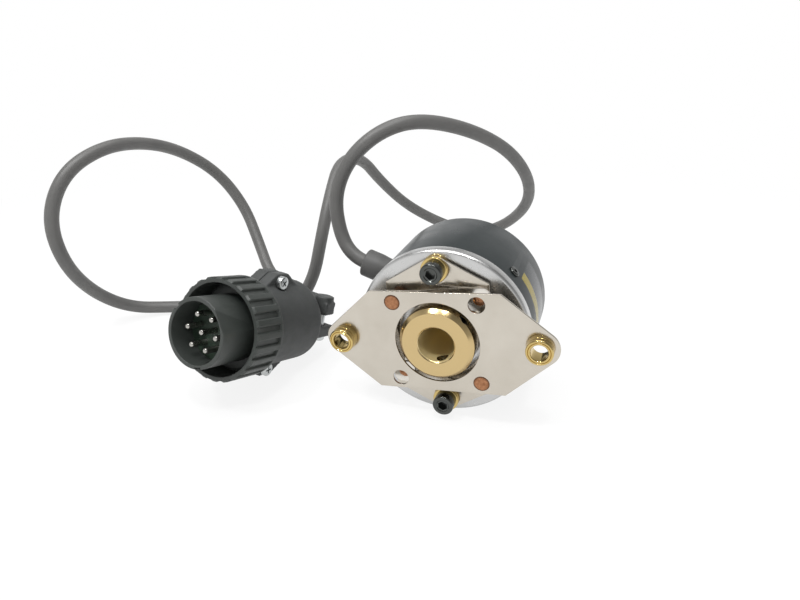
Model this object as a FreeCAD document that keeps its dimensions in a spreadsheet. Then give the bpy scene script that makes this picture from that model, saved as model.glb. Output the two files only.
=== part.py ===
import FreeCAD, Part
import math
import os
import types

import Sketcher
from FreeCAD import Placement, Rotation, Vector

# Hollow shaft rotary encoder with a riveted stator coupling, a free cable and a round plug.
# Lengths are in millimetres and angles in degrees. The encoder's own frame has its Z axis on the
# shaft, pointing out of the front, X towards the right-hand ear, and Z = 0 a little behind the
# flange's front face.
# The plug's own frame has its Z axis pointing out of the pins, with Z = 0 at the barrel's front rim.

SIZES = {
    # How the encoder lies: its housing rests on the table, rolled a little about the shaft
    "lying_roll_angle": 6.55,
    # Fits that many pieces share
    "fit_gap": 0.02,
    "slip_gap": 0.1,
    "running_gap": 0.3,
    # Flange
    "housing_radius": 29.0,
    "face_height": 3.0,
    "lip_depth": 1.0,
    "lip_round": 1.0,
    "web_end": 5.6,
    "spigot_end": 11.3,
    "pocket_width": 3.9,
    "o_ring_cord_radius": 0.5,
    "o_ring_inset": 1.6,
    # Cover
    "cover_step": 0.2,
    "cover_wall": 1.5,
    "cover_end_wall": 1.6,
    "cover_end_gap": 0.9,
    "cover_round": 2.0,
    "cover_screw_count": 3,
    "cover_screw_angle": 39.0,
    "cover_screw_depth": 7.4,
    "cover_screw_radius": 1.0,
    "cover_screw_length": 5.0,
    "cover_screw_head_radius": 1.9,
    "cover_screw_head_height": 0.8,
    # Cable boot
    "boot_angle": 156.7,
    "boot_depth": 22.7,
    "boot_flange_radius": 5.4,
    "boot_flange_thickness": 1.2,
    "boot_flange_gap": 0.7,
    "boot_neck_radius": 4.9,
    "boot_neck_length": 4.6,
    "boot_taper": 3.0,
    "boot_collar_radius": 5.2,
    "boot_collar_length": 5.45,
    "boot_round": 0.6,
    # Shaft
    "bore_radius": 6.0,
    "bore_depth": 23.5,
    "bore_chamfer": 0.5,
    "shaft_wall": 2.5,
    "shoulder_height": 1.1,
    "hub_face": 11.5,
    "hub_radius": 12.4,
    "hub_back": 4.2,
    "hub_chamfer": 1.3,
    "journal_short": 0.4,
    "stub_radius": 5.0,
    "set_screw_radius": 2.0,
    "set_screw_length": 4.8,
    "set_screw_sunk": 0.4,
    "set_screw_back": 3.1,
    "set_screw_angle": 41.0,
    "set_screw_between_angle": 120.0,
    "set_socket_radius": 1.15,
    "set_socket_depth": 1.8,
    # Bearings
    "bearing_front": 3.0,
    "bearing_height": 4.5,
    "bearing_width": 5.0,
    "bearing_spacing": 6.0,
    "ring_wall": 1.4,
    "ball_radius": 1.3,
    "ball_gap": 0.04,
    "ball_count": 10,
    "cage_wall": 0.9,
    "cage_width": 3.6,
    "cage_gap": 0.1,
    "tube_wall": 3.5,
    "tube_tail": 1.2,
    "circlip_thickness": 1.1,
    "circlip_width": 2.4,
    "circlip_groove": 0.6,
    "seal_width": 1.92,
    "seal_gap": 0.08,
    "seal_sunk": 0.8,
    # Code disc and electronics
    "disc_hub_wall": 4.0,
    "disc_hub_length": 5.5,
    "disc_thickness": 1.0,
    "disc_gap": 0.9,
    "disc_nut_wall": 2.5,
    "disc_nut_height": 2.1,
    "light_gap": 0.5,
    "light_thickness": 2.7,
    "light_width": 7.0,
    "sensor_reach": 4.2,
    "board_gap": 1.4,
    "board_rim_gap": 1.3,
    "board_thickness": 1.6,
    "post_count": 3,
    "post_angle": 90.0,
    "post_inset": 4.0,
    "post_radius": 1.8,
    "board_screw_radius": 1.2,
    "board_screw_length": 5.0,
    "board_screw_head_radius": 2.2,
    "board_screw_head_height": 1.4,
    "connector_rise": 2.2,
    "connector_thickness": 2.6,
    "connector_width": 8.0,
    "lead_radius": 1.2,
    "lead_length": 1.3,
    # Stator coupling
    "plate_thickness": 0.8,
    "flex_thickness": 0.5,
    "front_plate_face": 9.8,
    "rear_plate_face": 5.0,
    "front_half_height": 17.5,
    "front_corner": 21.2,
    "front_ear_reach": 32.5,
    "front_ear_radius": 6.0,
    "rear_half_width": 17.0,
    "rear_corner": 18.8,
    "rear_ear_radius": 4.2,
    "window_gap": 1.6,
    "flex_half": 17.5,
    "flex_arm": 4.0,
    "flex_pad": 7.5,
    "flex_round": 2.5,
    "rivet_place_offset": 13.7,
    "rivet_radius": 1.6,
    "rivet_head_radius": 2.65,
    "rear_rivet_head_radius": 2.0,
    "rivet_head_height": 0.35,
    "access_hole_radius": 2.7,
    "front_bushing_radius": 4.25,
    "front_bushing_neck_radius": 3.3,
    "front_bushing_hole_radius": 2.7,
    "front_bushing_nose": 2.8,
    "front_bushing_tail": 2.2,
    "bushing_round": 0.5,
    "rear_bushing_radius": 4.3,
    "rear_bushing_neck_radius": 2.9,
    "rear_bushing_nose": 1.2,
    "rear_bushing_groove": 0.4,
    "cap_inset": 3.8,
    "cap_radius": 3.5,
    "cap_height": 4.0,
    "cap_round": 0.4,
    "cap_shank_radius": 2.0,
    "cap_shank_length": 13.0,
    "cap_socket_radius": 1.73,
    "cap_socket_depth": 2.2,
    "tap_spare": 0.7,
    # Plug: place of the barrel's front rim and direction of its axis
    "plug_x": -74.5,
    "plug_y": -32.3,
    "plug_z": 2.0,
    "plug_yaw_angle": 8.6,
    "plug_tilt_angle": 18.0,
    "shell_roll_angle": 4.6,
    # Plug barrel, insert and pins
    "barrel_radius": 11.9,
    "barrel_wall": 1.4,
    "barrel_depth": 9.4,
    "barrel_flange_height": 2.7,
    "barrel_flange_front": 17.8,
    "barrel_flange_thickness": 2.0,
    "barrel_neck_height": 0.7,
    "barrel_tail": 6.7,
    "key_angle": 32.0,
    "key_width": 9.0,
    "key_depth": 0.8,
    "small_key_width": 2.6,
    "small_key_angle": 110.0,
    "pin_circle_radius": 6.2,
    "pin_count": 6,
    "pin_angle": 113.0,
    "pin_radius": 1.0,
    "pin_tip": 2.4,
    "pin_tail": 5.0,
    "pin_round": 0.6,
    # Plug coupling ring
    "ring_front": 9.6,
    "ring_room": 1.4,
    "ring_wall_thickness": 2.0,
    "ring_lip": 2.9,
    "rib_count": 24,
    "rib_angle": 11.0,
    "rib_width": 2.2,
    "rib_height": 0.9,
    "rib_band": 1.4,
    # Plug shells
    "shell_height": 3.2,
    "shell_wall": 2.0,
    "shell_front_wall": 3.0,
    "shell_length": 28.2,
    "shell_end_wall": 4.0,
    "shell_round": 3.0,
    "lug_start": 0.2,
    "lug_length": 23.5,
    "lug_slope": 8.5,
    "lug_height": 3.8,
    "lug_half_width": 4.6,
    "shell_screw_place": 10.4,
    "shell_screw_lift": 0.8,
    "shell_screw_radius": 1.5,
    "shell_screw_head_radius": 2.5,
    "shell_screw_head_height": 2.2,
    # Cable clamp
    "jaw_length": 10.5,
    "jaw_thickness": 4.3,
    "jaw_top": 0.3,
    "saddle_start": 2.4,
    "saddle_length": 6.2,
    "saddle_lift": 1.65,
    "saddle_height": 5.0,
    "saddle_crown": 1.6,
    "saddle_crown_half": 6.0,
    "tongue_half_width": 3.4,
    "tongue_flare": 0.8,
    "boss_radius": 3.6,
    "boss_height": 7.2,
    "boss_roof": 1.6,
    "clamp_screw_offset": 10.4,
    "clamp_screw_radius": 1.5,
    "clamp_screw_head_radius": 2.7,
    "clamp_screw_head_height": 2.0,
    "clamp_screw_spare": 0.8,
    # Cable
    "cable_radius": 2.65,
    "cable_lead": 4.9,
    "cable_tail": 6.5,
    "cable_grip": 1.0,
}

# The cable's route in the part's frame, from the boot's mouth to the plug's rear wall.
# It rises out of the boot, loops over and behind the housing, arches to the left, comes down behind
# the plug, lies on the table, stands up in a second loop on the left and comes back to the plug.
CABLE_ROUTE = [
    (-48.0, 25.0, 19.5),
    (-50.7, 26.6, 33.8),
    (-45.5, 28.1, 47.5),
    (-35.1, 33.6, 57.6),
    (-23.2, 42.8, 60.9),
    (-8.0, 62.2, 55.0),
    (4.5, 83.0, 43.8),
    (11.5, 101.4, 27.6),
    (9.2, 119.4, 10.8),
    (-3.8, 135.3, -5.6),
    (-20.2, 139.5, -12.9),
    (-38.5, 140.6, -10.1),
    (-56.7, 131.5, 1.3),
    (-66.4, 116.7, 17.5),
    (-69.8, 99.2, 33.1),
    (-71.0, 77.0, 35.3),
    (-67.9, 59.8, 25.7),
    (-67.9, 48.6, 9.2),
    (-71.0, 44.4, -8.7),
    (-81.8, 41.4, -20.9),
    (-98.7, 40.0, -26.3),
    (-119.0, 37.5, -26.2),
    (-137.3, 29.7, -26.3),
    (-150.1, 18.5, -23.4),
    (-157.9, 7.6, -12.2),
    (-156.4, -4.2, 5.6),
    (-157.5, -4.9, 24.1),
    (-154.9, 4.2, 39.7),
    (-149.2, 19.9, 47.1),
    (-149.1, 43.1, 45.3),
    (-146.0, 63.9, 38.0),
    (-137.5, 78.7, 25.1),
    (-126.5, 82.0, 8.1),
    (-115.8, 74.9, -8.1),
    (-104.7, 65.2, -21.1),
    (-87.2, 60.8, -26.3),
    (-73.8, 49.8, -24.9),
]

doc = FreeCAD.newDocument("hollow_shaft_encoder")
sheet = doc.addObject("Spreadsheet::Sheet", "Sizes")
for row, (name, number) in enumerate(SIZES.items(), start=1):
    sheet.set(f"A{row}", name)
    sheet.set(f"B{row}", str(number))
    sheet.setAlias(f"B{row}", name)
doc.recompute()


class Size:
    """A number together with the sheet expression that it comes from."""

    def __init__(self, value, text):
        self.value = float(value)
        self.text = text

    @staticmethod
    def of(number):
        if isinstance(number, Size):
            return number
        return Size(number, f"({number!r})")

    def join(self, other, sign, value):
        return Size(value, f"({self.text} {sign} {Size.of(other).text})")

    def __add__(self, other):
        return self.join(other, "+", self.value + Size.of(other).value)

    def __sub__(self, other):
        return self.join(other, "-", self.value - Size.of(other).value)

    def __mul__(self, other):
        return self.join(other, "*", self.value * Size.of(other).value)

    def __truediv__(self, other):
        return self.join(other, "/", self.value / Size.of(other).value)

    def __neg__(self):
        return Size(-self.value, f"(0 - {self.text})")


S = types.SimpleNamespace(**{name: Size(sheet.get(name), f"Sizes.{name}") for name in SIZES})
NOUGHT = Size(0, "0")


# Frames


def turned_to(direction, start=(0, 0, 0)):
    """The placement that carries the Z axis to a direction and the origin to a point."""
    return Placement(Vector(*start), Rotation(Vector(0, 0, 1), Vector(*direction)))


def radial(angle, height=0.0):
    """The placement whose Z axis points outwards from the shaft at an angle, X along the shaft."""
    across = Rotation(Vector(0, 1, 0), 90)
    return Placement(Vector(0, 0, height), Rotation(Vector(0, 0, 1), angle).multiply(across))


upright = Rotation(Vector(1, 0, 0), 90)
rolled = Rotation(Vector(0, 1, 0), -S.lying_roll_angle.value)
ENCODER = Placement(Vector(), rolled.multiply(upright))
yawed = Rotation(Vector(0, 0, 1), -S.plug_yaw_angle.value)
tilted = Rotation(Vector(1, 0, 0), -S.plug_tilt_angle.value)
PLUG = Placement(
    Vector(S.plug_x.value, S.plug_y.value, S.plug_z.value),
    yawed.multiply(tilted).multiply(upright),
)
SHELLS = PLUG.multiply(Placement(Vector(), Rotation(Vector(0, 0, 1), -S.shell_roll_angle.value)))
SHELLS_SIDEWAYS = SHELLS.multiply(Placement(Vector(), Rotation(Vector(0, 1, 0), 90)))
SHELLS_UPWARDS = SHELLS.multiply(Placement(Vector(), Rotation(Vector(1, 0, 0), -90)))
BOOT = ENCODER.multiply(radial(S.boot_angle.value, -S.boot_depth.value))


# Building blocks

pieces = []


def new_body(label, frame):
    body = doc.addObject("PartDesign::Body", label)
    body.Label = label
    body.AllowCompound = True
    body.Placement = frame
    pieces.append(body)
    return body


def new_sketch(body, role="XY_Plane", offset=NOUGHT):
    """A sketch on one of the body's own planes, moved along that plane's normal."""
    sketch = body.newObject("Sketcher::SketchObject", "Sketch")
    plane = next(f for f in body.Origin.OriginFeatures if f.Role == role)
    sketch.AttachmentSupport = [(plane, "")]
    sketch.MapMode = "FlatFace"
    sketch.AttachmentOffset = Placement(Vector(0, 0, offset.value), Rotation())
    sketch.setExpression(".AttachmentOffset.Base.z", offset.text)
    return sketch


def bind(sketch, kind, *details, size):
    """Adds a dimension to a sketch and ties it to the sheet."""
    index = sketch.addConstraint(Sketcher.Constraint(kind, *details, size.value))
    sketch.setExpression(f"Constraints[{index}]", size.text)


def pin_point(sketch, geometry, point, x, y):
    bind(sketch, "DistanceX", -1, 1, geometry, point, size=Size.of(x))
    bind(sketch, "DistanceY", -1, 1, geometry, point, size=Size.of(y))


def draw_polygon(sketch, points):
    """A closed outline of straight sides, with each corner tied to its own sizes."""
    points = [(Size.of(x), Size.of(y)) for x, y in points]
    corners = [Vector(x.value, y.value, 0) for x, y in points]
    first = sketch.GeometryCount
    count = len(points)
    for start, end in zip(corners, corners[1:] + corners[:1]):
        sketch.addGeometry(Part.LineSegment(start, end), False)
    for side in range(count):
        following = first + (side + 1) % count
        sketch.addConstraint(Sketcher.Constraint("Coincident", first + side, 2, following, 1))
    for side, (x, y) in enumerate(points):
        pin_point(sketch, first + side, 1, x, y)


def draw_circle(sketch, x, y, radius):
    x, y = Size.of(x), Size.of(y)
    middle = Vector(x.value, y.value, 0)
    circle = sketch.addGeometry(Part.Circle(middle, Vector(0, 0, 1), radius.value), False)
    pin_point(sketch, circle, 3, x, y)
    bind(sketch, "Radius", circle, size=radius)


def rectangle(x_low, x_high, y_low, y_high):
    return [(x_low, y_low), (x_high, y_low), (x_high, y_high), (x_low, y_high)]


def hexagon(x, y, radius):
    turns = [math.radians(60 * step) for step in range(6)]
    return [(x + radius * math.cos(turn), y + radius * math.sin(turn)) for turn in turns]


def polar_places(count, radius, angle):
    """Points spread evenly round the axis, the first at the given angle."""
    turns = [math.radians(angle + 360.0 / count * step) for step in range(count)]
    return [(radius * math.cos(turn), radius * math.sin(turn)) for turn in turns]


def finish_feature(body, feature, removes):
    """Recomputes, and stops if a cut took nothing away or an addition added nothing."""
    before = body.Tip.Shape.Volume if body.Tip and body.Tip is not feature else 0.0
    body.Tip = feature
    doc.recompute()
    change = feature.Shape.Volume - before
    if (removes and change > -1e-6) or (not removes and change < 1e-6):
        raise RuntimeError(f"{body.Label}: {feature.Name} changes the volume by {change:.6f}")
    return feature


def revolve(body, sketch, angle=360.0, reverse=False):
    before = body.Tip
    feature = body.newObject("PartDesign::Revolution", "Revolution")
    body.Tip = before
    feature.Profile = sketch
    feature.ReferenceAxis = (sketch, ["V_Axis"])
    feature.Angle = angle
    feature.Reversed = reverse
    return finish_feature(body, feature, removes=False)


def extrude(body, sketch, length, kind="Pad", reverse=False):
    before = body.Tip
    feature = body.newObject(f"PartDesign::{kind}", kind)
    body.Tip = before
    feature.Profile = sketch
    feature.Length = length.value
    feature.setExpression("Length", length.text)
    feature.Reversed = reverse
    return finish_feature(body, feature, removes=kind == "Pocket")


def primitive(body, kind, place, removes, **sizes):
    """A round, spherical or prismatic lump or cut at a place in the body."""
    before = body.Tip
    sign = "Subtractive" if removes else "Additive"
    feature = body.newObject(f"PartDesign::{sign}{kind}", kind)
    body.Tip = before
    feature.Placement = place
    for name, size in sizes.items():
        setattr(feature, name, size.value)
        feature.setExpression(name, size.text)
    return finish_feature(body, feature, removes)


def repeat_round(body, features, count, removes):
    """Copies features evenly round the body's Z axis."""
    before = body.Tip
    pattern = body.newObject("PartDesign::PolarPattern", "PolarPattern")
    body.Tip = before
    axis = next(f for f in body.Origin.OriginFeatures if f.Role == "Z_Axis")
    pattern.Originals = features
    pattern.Axis = (axis, [""])
    pattern.Angle = 360.0
    pattern.Occurrences = int(count.value)
    pattern.setExpression("Occurrences", count.text)
    return finish_feature(body, pattern, removes)


def round_rims(body, radius, rims, kind="Fillet"):
    """Rounds or bevels the circular edges with these radii and heights."""
    base = body.Tip
    names = []
    for number, edge in enumerate(base.Shape.Edges, start=1):
        if not isinstance(edge.Curve, Part.Circle):
            continue
        for rim_radius, height in rims:
            level = abs(edge.Curve.Center.z - Size.of(height).value) < 1e-4
            if level and abs(edge.Curve.Radius - Size.of(rim_radius).value) < 1e-4:
                names.append(f"Edge{number}")
    if not names:
        raise RuntimeError(f"{body.Label}: no rim to round")
    feature = body.newObject(f"PartDesign::{kind}", kind)
    body.Tip = base
    feature.Base = (base, names)
    measure = "Radius" if kind == "Fillet" else "Size"
    setattr(feature, measure, radius.value)
    feature.setExpression(measure, radius.text)
    return finish_feature(body, feature, removes=True)


def round_corners(body, radius, corners):
    """Rounds the upright edges at these points."""
    base = body.Tip
    names = []
    for number, edge in enumerate(base.Shape.Edges, start=1):
        first, last = edge.Vertexes[0].Point, edge.Vertexes[-1].Point
        for x, y in corners:
            spot = Vector(x.value, y.value, 0)
            if all((Vector(end.x, end.y, 0) - spot).Length < 1e-4 for end in (first, last)):
                names.append(f"Edge{number}")
    feature = body.newObject("PartDesign::Fillet", "Fillet")
    body.Tip = base
    feature.Base = (base, names)
    feature.Radius = radius.value
    feature.setExpression("Radius", radius.text)
    return finish_feature(body, feature, removes=True)


def turned(label, frame, profile):
    """A body turned about its Z axis from an outline of (radius, height) corners."""
    body = new_body(label, frame)
    sketch = new_sketch(body, "XZ_Plane")
    draw_polygon(sketch, profile)
    revolve(body, sketch)
    return body


def ring_profile(inner, outer, low, high):
    return rectangle(inner, outer, low, high)


def add_rounds(body, places, low, high, outer, inner=None):
    """Discs or rings of one size, from one height to another, at several places."""
    sketch = new_sketch(body, "XY_Plane", low)
    for x, y in places:
        draw_circle(sketch, x, y, outer)
        if inner is not None:
            draw_circle(sketch, x, y, inner)
    return extrude(body, sketch, high - low)


def cut_rounds(body, places, radius, top, depth):
    """Round holes sunk downwards from a height."""
    sketch = new_sketch(body, "XY_Plane", top)
    for x, y in places:
        draw_circle(sketch, x, y, radius)
    return extrude(body, sketch, depth, "Pocket")


def cut_sockets(body, places, radius, top, depth):
    """Hexagon sockets sunk downwards from a height."""
    sketch = new_sketch(body, "XY_Plane", top)
    for x, y in places:
        draw_polygon(sketch, hexagon(Size.of(x), Size.of(y), radius))
    return extrude(body, sketch, depth, "Pocket")


def block(label, frame, x_low, x_high, y_low, y_high, low, high):
    body = new_body(label, frame)
    sketch = new_sketch(body, "XY_Plane", low)
    draw_polygon(sketch, rectangle(x_low, x_high, y_low, y_high))
    extrude(body, sketch, high - low)
    return body


def swept_tube(points, radius):
    """A round tube on straight runs joined by tangent arcs, each arc as large as its runs allow."""
    points = [Vector(*point) for point in points]
    edges, radii = [], []
    start = points[0]
    for before, corner, after in zip(points, points[1:], points[2:]):
        coming = (corner - before).normalize()
        going = (after - corner).normalize()
        half_turn = coming.getAngle(going) / 2
        setback = 0.45 * min((corner - before).Length, (after - corner).Length)
        bend = setback / math.tan(half_turn)
        radii.append(bend)
        arc_start = corner - coming * setback
        arc_end = corner + going * setback
        inward = (going - coming).normalize()
        middle = corner + inward * (bend / math.cos(half_turn) - bend)
        edges.append(Part.LineSegment(start, arc_start).toShape())
        edges.append(Part.Arc(arc_start, middle, arc_end).toShape())
        start = arc_end
    edges.append(Part.LineSegment(start, points[-1]).toShape())
    spine = Part.Wire(edges)
    section = Part.Wire([Part.makeCircle(radius, points[0], points[1] - points[0])])
    tube = spine.makePipeShell([section], True, True)
    expected = math.pi * radius**2 * spine.Length
    if abs(tube.Volume / expected - 1) > 0.002:
        raise RuntimeError(f"tube volume {tube.Volume:.1f} is not {expected:.1f}")
    return tube, spine.Length, radii


def add_shape(label, shape):
    feature = doc.addObject("Part::Feature", label)
    feature.Label = label
    feature.Shape = shape
    feature.Placement = Placement()
    pieces.append(feature)
    return feature


# Sizes that several pieces of the encoder share

bearing_bore_radius = S.bore_radius + S.shaft_wall
bearing_outer_radius = bearing_bore_radius + S.bearing_height
shoulder_radius = bearing_bore_radius + S.shoulder_height
seal_radius = shoulder_radius + S.seal_gap + S.seal_width
seat_radius = bearing_outer_radius + S.fit_gap
tube_radius = seat_radius + S.tube_wall
cover_radius = S.housing_radius - S.cover_step
cover_inside = cover_radius - S.cover_wall
spigot_radius = cover_inside - S.slip_gap
spigot_inside = tube_radius + S.pocket_width
window_radius = S.hub_radius + S.window_gap

front_bearing_end = S.bearing_front + S.bearing_width
rear_bearing_front = front_bearing_end + S.bearing_spacing
rear_bearing_end = rear_bearing_front + S.bearing_width
circlip_end = rear_bearing_end + S.circlip_thickness
tube_end = circlip_end + S.tube_tail
disc_front = rear_bearing_end + S.disc_hub_length
disc_back = disc_front + S.disc_thickness
stub_end = disc_back + S.disc_nut_height
board_front = stub_end + S.board_gap
board_back = board_front + S.board_thickness
cover_floor = board_back + S.board_screw_head_height + S.cover_end_gap
cover_end = cover_floor + S.cover_end_wall

cap_reach = spigot_radius - S.cap_inset
cap_places = [(NOUGHT, cap_reach), (NOUGHT, -cap_reach)]
ear_places = [(S.front_ear_reach, NOUGHT), (-S.front_ear_reach, NOUGHT)]
rivet_offset = S.rivet_place_offset
front_rivet_places = [(-rivet_offset, rivet_offset), (rivet_offset, -rivet_offset)]
rear_rivet_places = [(rivet_offset, rivet_offset), (-rivet_offset, -rivet_offset)]
cover_screw_turn = 360.0 / S.cover_screw_count.value
cover_screw_spokes = [
    radial(S.cover_screw_angle.value + cover_screw_turn * number, -S.cover_screw_depth.value)
    for number in range(int(S.cover_screw_count.value))
]
post_reach = spigot_radius - S.post_inset
post_places = polar_places(int(S.post_count.value), post_reach, S.post_angle.value)


# Front flange: turned aluminium with a flat face, a spigot for the cover and the bearing tube

groove_depth = S.o_ring_cord_radius * 2.0
o_ring_depth = S.spigot_end - S.o_ring_inset
groove_front = o_ring_depth - S.o_ring_cord_radius * 1.4
groove_back = o_ring_depth + S.o_ring_cord_radius * 1.4
flange = turned("front_flange", ENCODER, [
    (seal_radius + S.fit_gap, S.face_height),
    (S.housing_radius, S.face_height),
    (S.housing_radius, -S.lip_depth),
    (spigot_radius, -S.lip_depth),
    (spigot_radius, -groove_front),
    (spigot_radius - groove_depth, -groove_front),
    (spigot_radius - groove_depth, -groove_back),
    (spigot_radius, -groove_back),
    (spigot_radius, -S.spigot_end),
    (spigot_inside, -S.spigot_end),
    (spigot_inside, -S.web_end),
    (tube_radius, -S.web_end),
    (tube_radius, -tube_end),
    (seat_radius, -tube_end),
    (seat_radius, -circlip_end),
    (seat_radius + S.circlip_groove, -circlip_end),
    (seat_radius + S.circlip_groove, -rear_bearing_end),
    (seat_radius, -rear_bearing_end),
    (seat_radius, -S.bearing_front),
    (seal_radius + S.fit_gap, -S.bearing_front),
])
round_rims(flange, S.lip_round, [(S.housing_radius, S.face_height)])
cap_seat = S.rear_plate_face + S.rear_bushing_nose
tap_depth = S.cap_shank_length - (cap_seat - S.face_height) + S.tap_spare
cut_rounds(flange, cap_places, S.cap_shank_radius + S.fit_gap, S.face_height, tap_depth)
tap_floor = spigot_radius - S.cover_screw_length
for spoke in cover_screw_spokes:
    primitive(
        flange,
        "Cylinder",
        spoke.multiply(Placement(Vector(0, 0, tap_floor.value), Rotation())),
        True,
        Radius=S.cover_screw_radius + S.fit_gap,
        Height=S.cover_screw_length + S.cover_wall,
    )


# Cover: a drawn cup that slips over the spigot, with holes for its screws and for the boot

cover = turned("housing_cover", ENCODER, [
    (cover_inside, -S.lip_depth),
    (cover_radius, -S.lip_depth),
    (cover_radius, -cover_end),
    (NOUGHT, -cover_end),
    (NOUGHT, -cover_floor),
    (cover_inside, -cover_floor),
])
round_rims(cover, S.cover_round, [(cover_radius, -cover_end)])
wall_start = Placement(Vector(0, 0, cap_reach.value), Rotation())
through_wall = cover_radius - cap_reach + S.cover_wall
for spoke in cover_screw_spokes:
    primitive(
        cover, "Cylinder", spoke.multiply(wall_start), True,
        Radius=S.cover_screw_radius + S.slip_gap, Height=through_wall,
    )
primitive(
    cover,
    "Cylinder",
    radial(S.boot_angle.value, -S.boot_depth.value).multiply(wall_start),
    True,
    Radius=S.boot_neck_radius + S.slip_gap,
    Height=through_wall,
)

cover_screws = new_body("cover_screws", ENCODER)
shank_end = spigot_radius - S.cover_screw_length + S.tap_spare
for spoke in cover_screw_spokes:
    primitive(
        cover_screws,
        "Cylinder",
        spoke.multiply(Placement(Vector(0, 0, shank_end.value), Rotation())),
        False,
        Radius=S.cover_screw_radius,
        Height=cover_radius - shank_end + S.fit_gap,
    )
    primitive(
        cover_screws,
        "Cylinder",
        spoke.multiply(Placement(Vector(0, 0, cover_radius.value), Rotation())),
        False,
        Radius=S.cover_screw_head_radius,
        Height=S.cover_screw_head_height,
    )

o_ring = new_body("cover_o_ring", ENCODER)
o_ring_sketch = new_sketch(o_ring, "XZ_Plane")
draw_circle(
    o_ring_sketch, spigot_radius - S.o_ring_cord_radius, -o_ring_depth, S.o_ring_cord_radius
)
revolve(o_ring, o_ring_sketch)

boot_flange_out = cover_inside - S.boot_flange_gap
boot_flange_in = boot_flange_out - S.boot_flange_thickness
boot_neck_out = cover_radius + S.boot_neck_length
boot_end = boot_neck_out + S.boot_collar_length
boot = turned("cable_boot", BOOT, [
    (NOUGHT, boot_flange_in),
    (S.boot_flange_radius, boot_flange_in),
    (S.boot_flange_radius, boot_flange_out),
    (S.boot_neck_radius, boot_flange_out),
    (S.boot_neck_radius, boot_neck_out - S.boot_taper),
    (S.boot_collar_radius, boot_neck_out),
    (S.boot_collar_radius, boot_end),
    (NOUGHT, boot_end),
])
round_rims(boot, S.boot_round, [(S.boot_collar_radius, boot_end)])


# Shaft: brass, with a blind bore, a bevelled clamping hub, two journals and the disc's stub

shaft = turned("hollow_shaft", ENCODER, [
    (S.bore_radius, S.hub_face),
    (S.hub_radius, S.hub_face),
    (S.hub_radius, S.hub_back),
    (shoulder_radius, S.hub_back),
    (shoulder_radius, -S.bearing_front),
    (bearing_bore_radius, -S.bearing_front),
    (bearing_bore_radius, S.journal_short - rear_bearing_end),
    (S.stub_radius, S.journal_short - rear_bearing_end),
    (S.stub_radius, -stub_end),
    (NOUGHT, -stub_end),
    (NOUGHT, S.hub_face - S.bore_depth),
    (S.bore_radius, S.hub_face - S.bore_depth),
])
round_rims(shaft, S.hub_chamfer, [(S.hub_radius, S.hub_face)], "Chamfer")
round_rims(shaft, S.bore_chamfer, [(S.bore_radius, S.hub_face)], "Chamfer")
set_screws = new_body("set_screws", ENCODER)
set_screw_start = S.hub_radius - S.set_screw_sunk - S.set_screw_length
set_screw_height = S.hub_face - S.set_screw_back
for angle in (S.set_screw_angle.value, S.set_screw_angle.value - S.set_screw_between_angle.value):
    axis = radial(angle, set_screw_height.value)
    primitive(
        shaft,
        "Cylinder",
        axis.multiply(Placement(Vector(0, 0, S.bore_radius.value / 2), Rotation())),
        True,
        Radius=S.set_screw_radius + S.fit_gap,
        Height=S.hub_radius,
    )
    primitive(
        set_screws,
        "Cylinder",
        axis.multiply(Placement(Vector(0, 0, set_screw_start.value), Rotation())),
        False,
        Radius=S.set_screw_radius,
        Height=S.set_screw_length,
    )
    socket_floor = S.hub_radius - S.set_screw_sunk - S.set_socket_depth
    primitive(
        set_screws,
        "Prism",
        axis.multiply(Placement(Vector(0, 0, socket_floor.value), Rotation())),
        True,
        Circumradius=S.set_socket_radius,
        Height=S.set_screw_length,
    )

turned("shaft_seal", ENCODER, ring_profile(
    shoulder_radius + S.seal_gap, seal_radius, S.fit_gap - S.bearing_front, S.face_height - S.seal_sunk
))


# Bearings: two thin deep-groove ball bearings with a spacer between them and a circlip behind

ball_circle = (bearing_bore_radius + bearing_outer_radius) / 2
race_radius = S.ball_radius + S.ball_gap
inner_ring_top = bearing_bore_radius + S.ring_wall
outer_ring_inside = bearing_outer_radius - S.ring_wall
for end, front_face in (("front", S.bearing_front), ("rear", rear_bearing_front)):
    back_face = front_face + S.bearing_width
    middle = -(front_face + S.bearing_width / 2)

    outer_ring = turned(f"{end}_bearing_outer_ring", ENCODER, ring_profile(
        outer_ring_inside, bearing_outer_radius, -back_face, -front_face
    ))
    inner_ring = turned(f"{end}_bearing_inner_ring", ENCODER, ring_profile(
        bearing_bore_radius + S.fit_gap, inner_ring_top, -back_face, -front_face
    ))
    for ring in (outer_ring, inner_ring):
        before = ring.Tip
        race_sketch = new_sketch(ring, "XZ_Plane")
        draw_circle(race_sketch, ball_circle, middle, race_radius)
        race = ring.newObject("PartDesign::Groove", "Groove")
        ring.Tip = before
        race.Profile = race_sketch
        race.ReferenceAxis = (race_sketch, ["V_Axis"])
        race.Angle = 360.0
        finish_feature(ring, race, removes=True)

    balls = new_body(f"{end}_bearing_balls", ENCODER)
    cage = turned(f"{end}_bearing_cage", ENCODER, ring_profile(
        ball_circle - S.cage_wall / 2,
        ball_circle + S.cage_wall / 2,
        middle - S.cage_width / 2,
        middle + S.cage_width / 2,
    ))
    ball_count = int(S.ball_count.value)
    for number in range(ball_count):
        spoke = radial(360.0 / ball_count * (number + 0.25), middle.value)
        ball_place = spoke.multiply(Placement(Vector(0, 0, ball_circle.value), Rotation()))
        primitive(balls, "Sphere", ball_place, False, Radius=S.ball_radius)
        pocket_start = spoke.multiply(Placement(Vector(0, 0, bearing_bore_radius.value), Rotation()))
        primitive(
            cage, "Cylinder", pocket_start, True,
            Radius=S.ball_radius + S.cage_gap, Height=bearing_outer_radius - bearing_bore_radius,
        )

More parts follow.
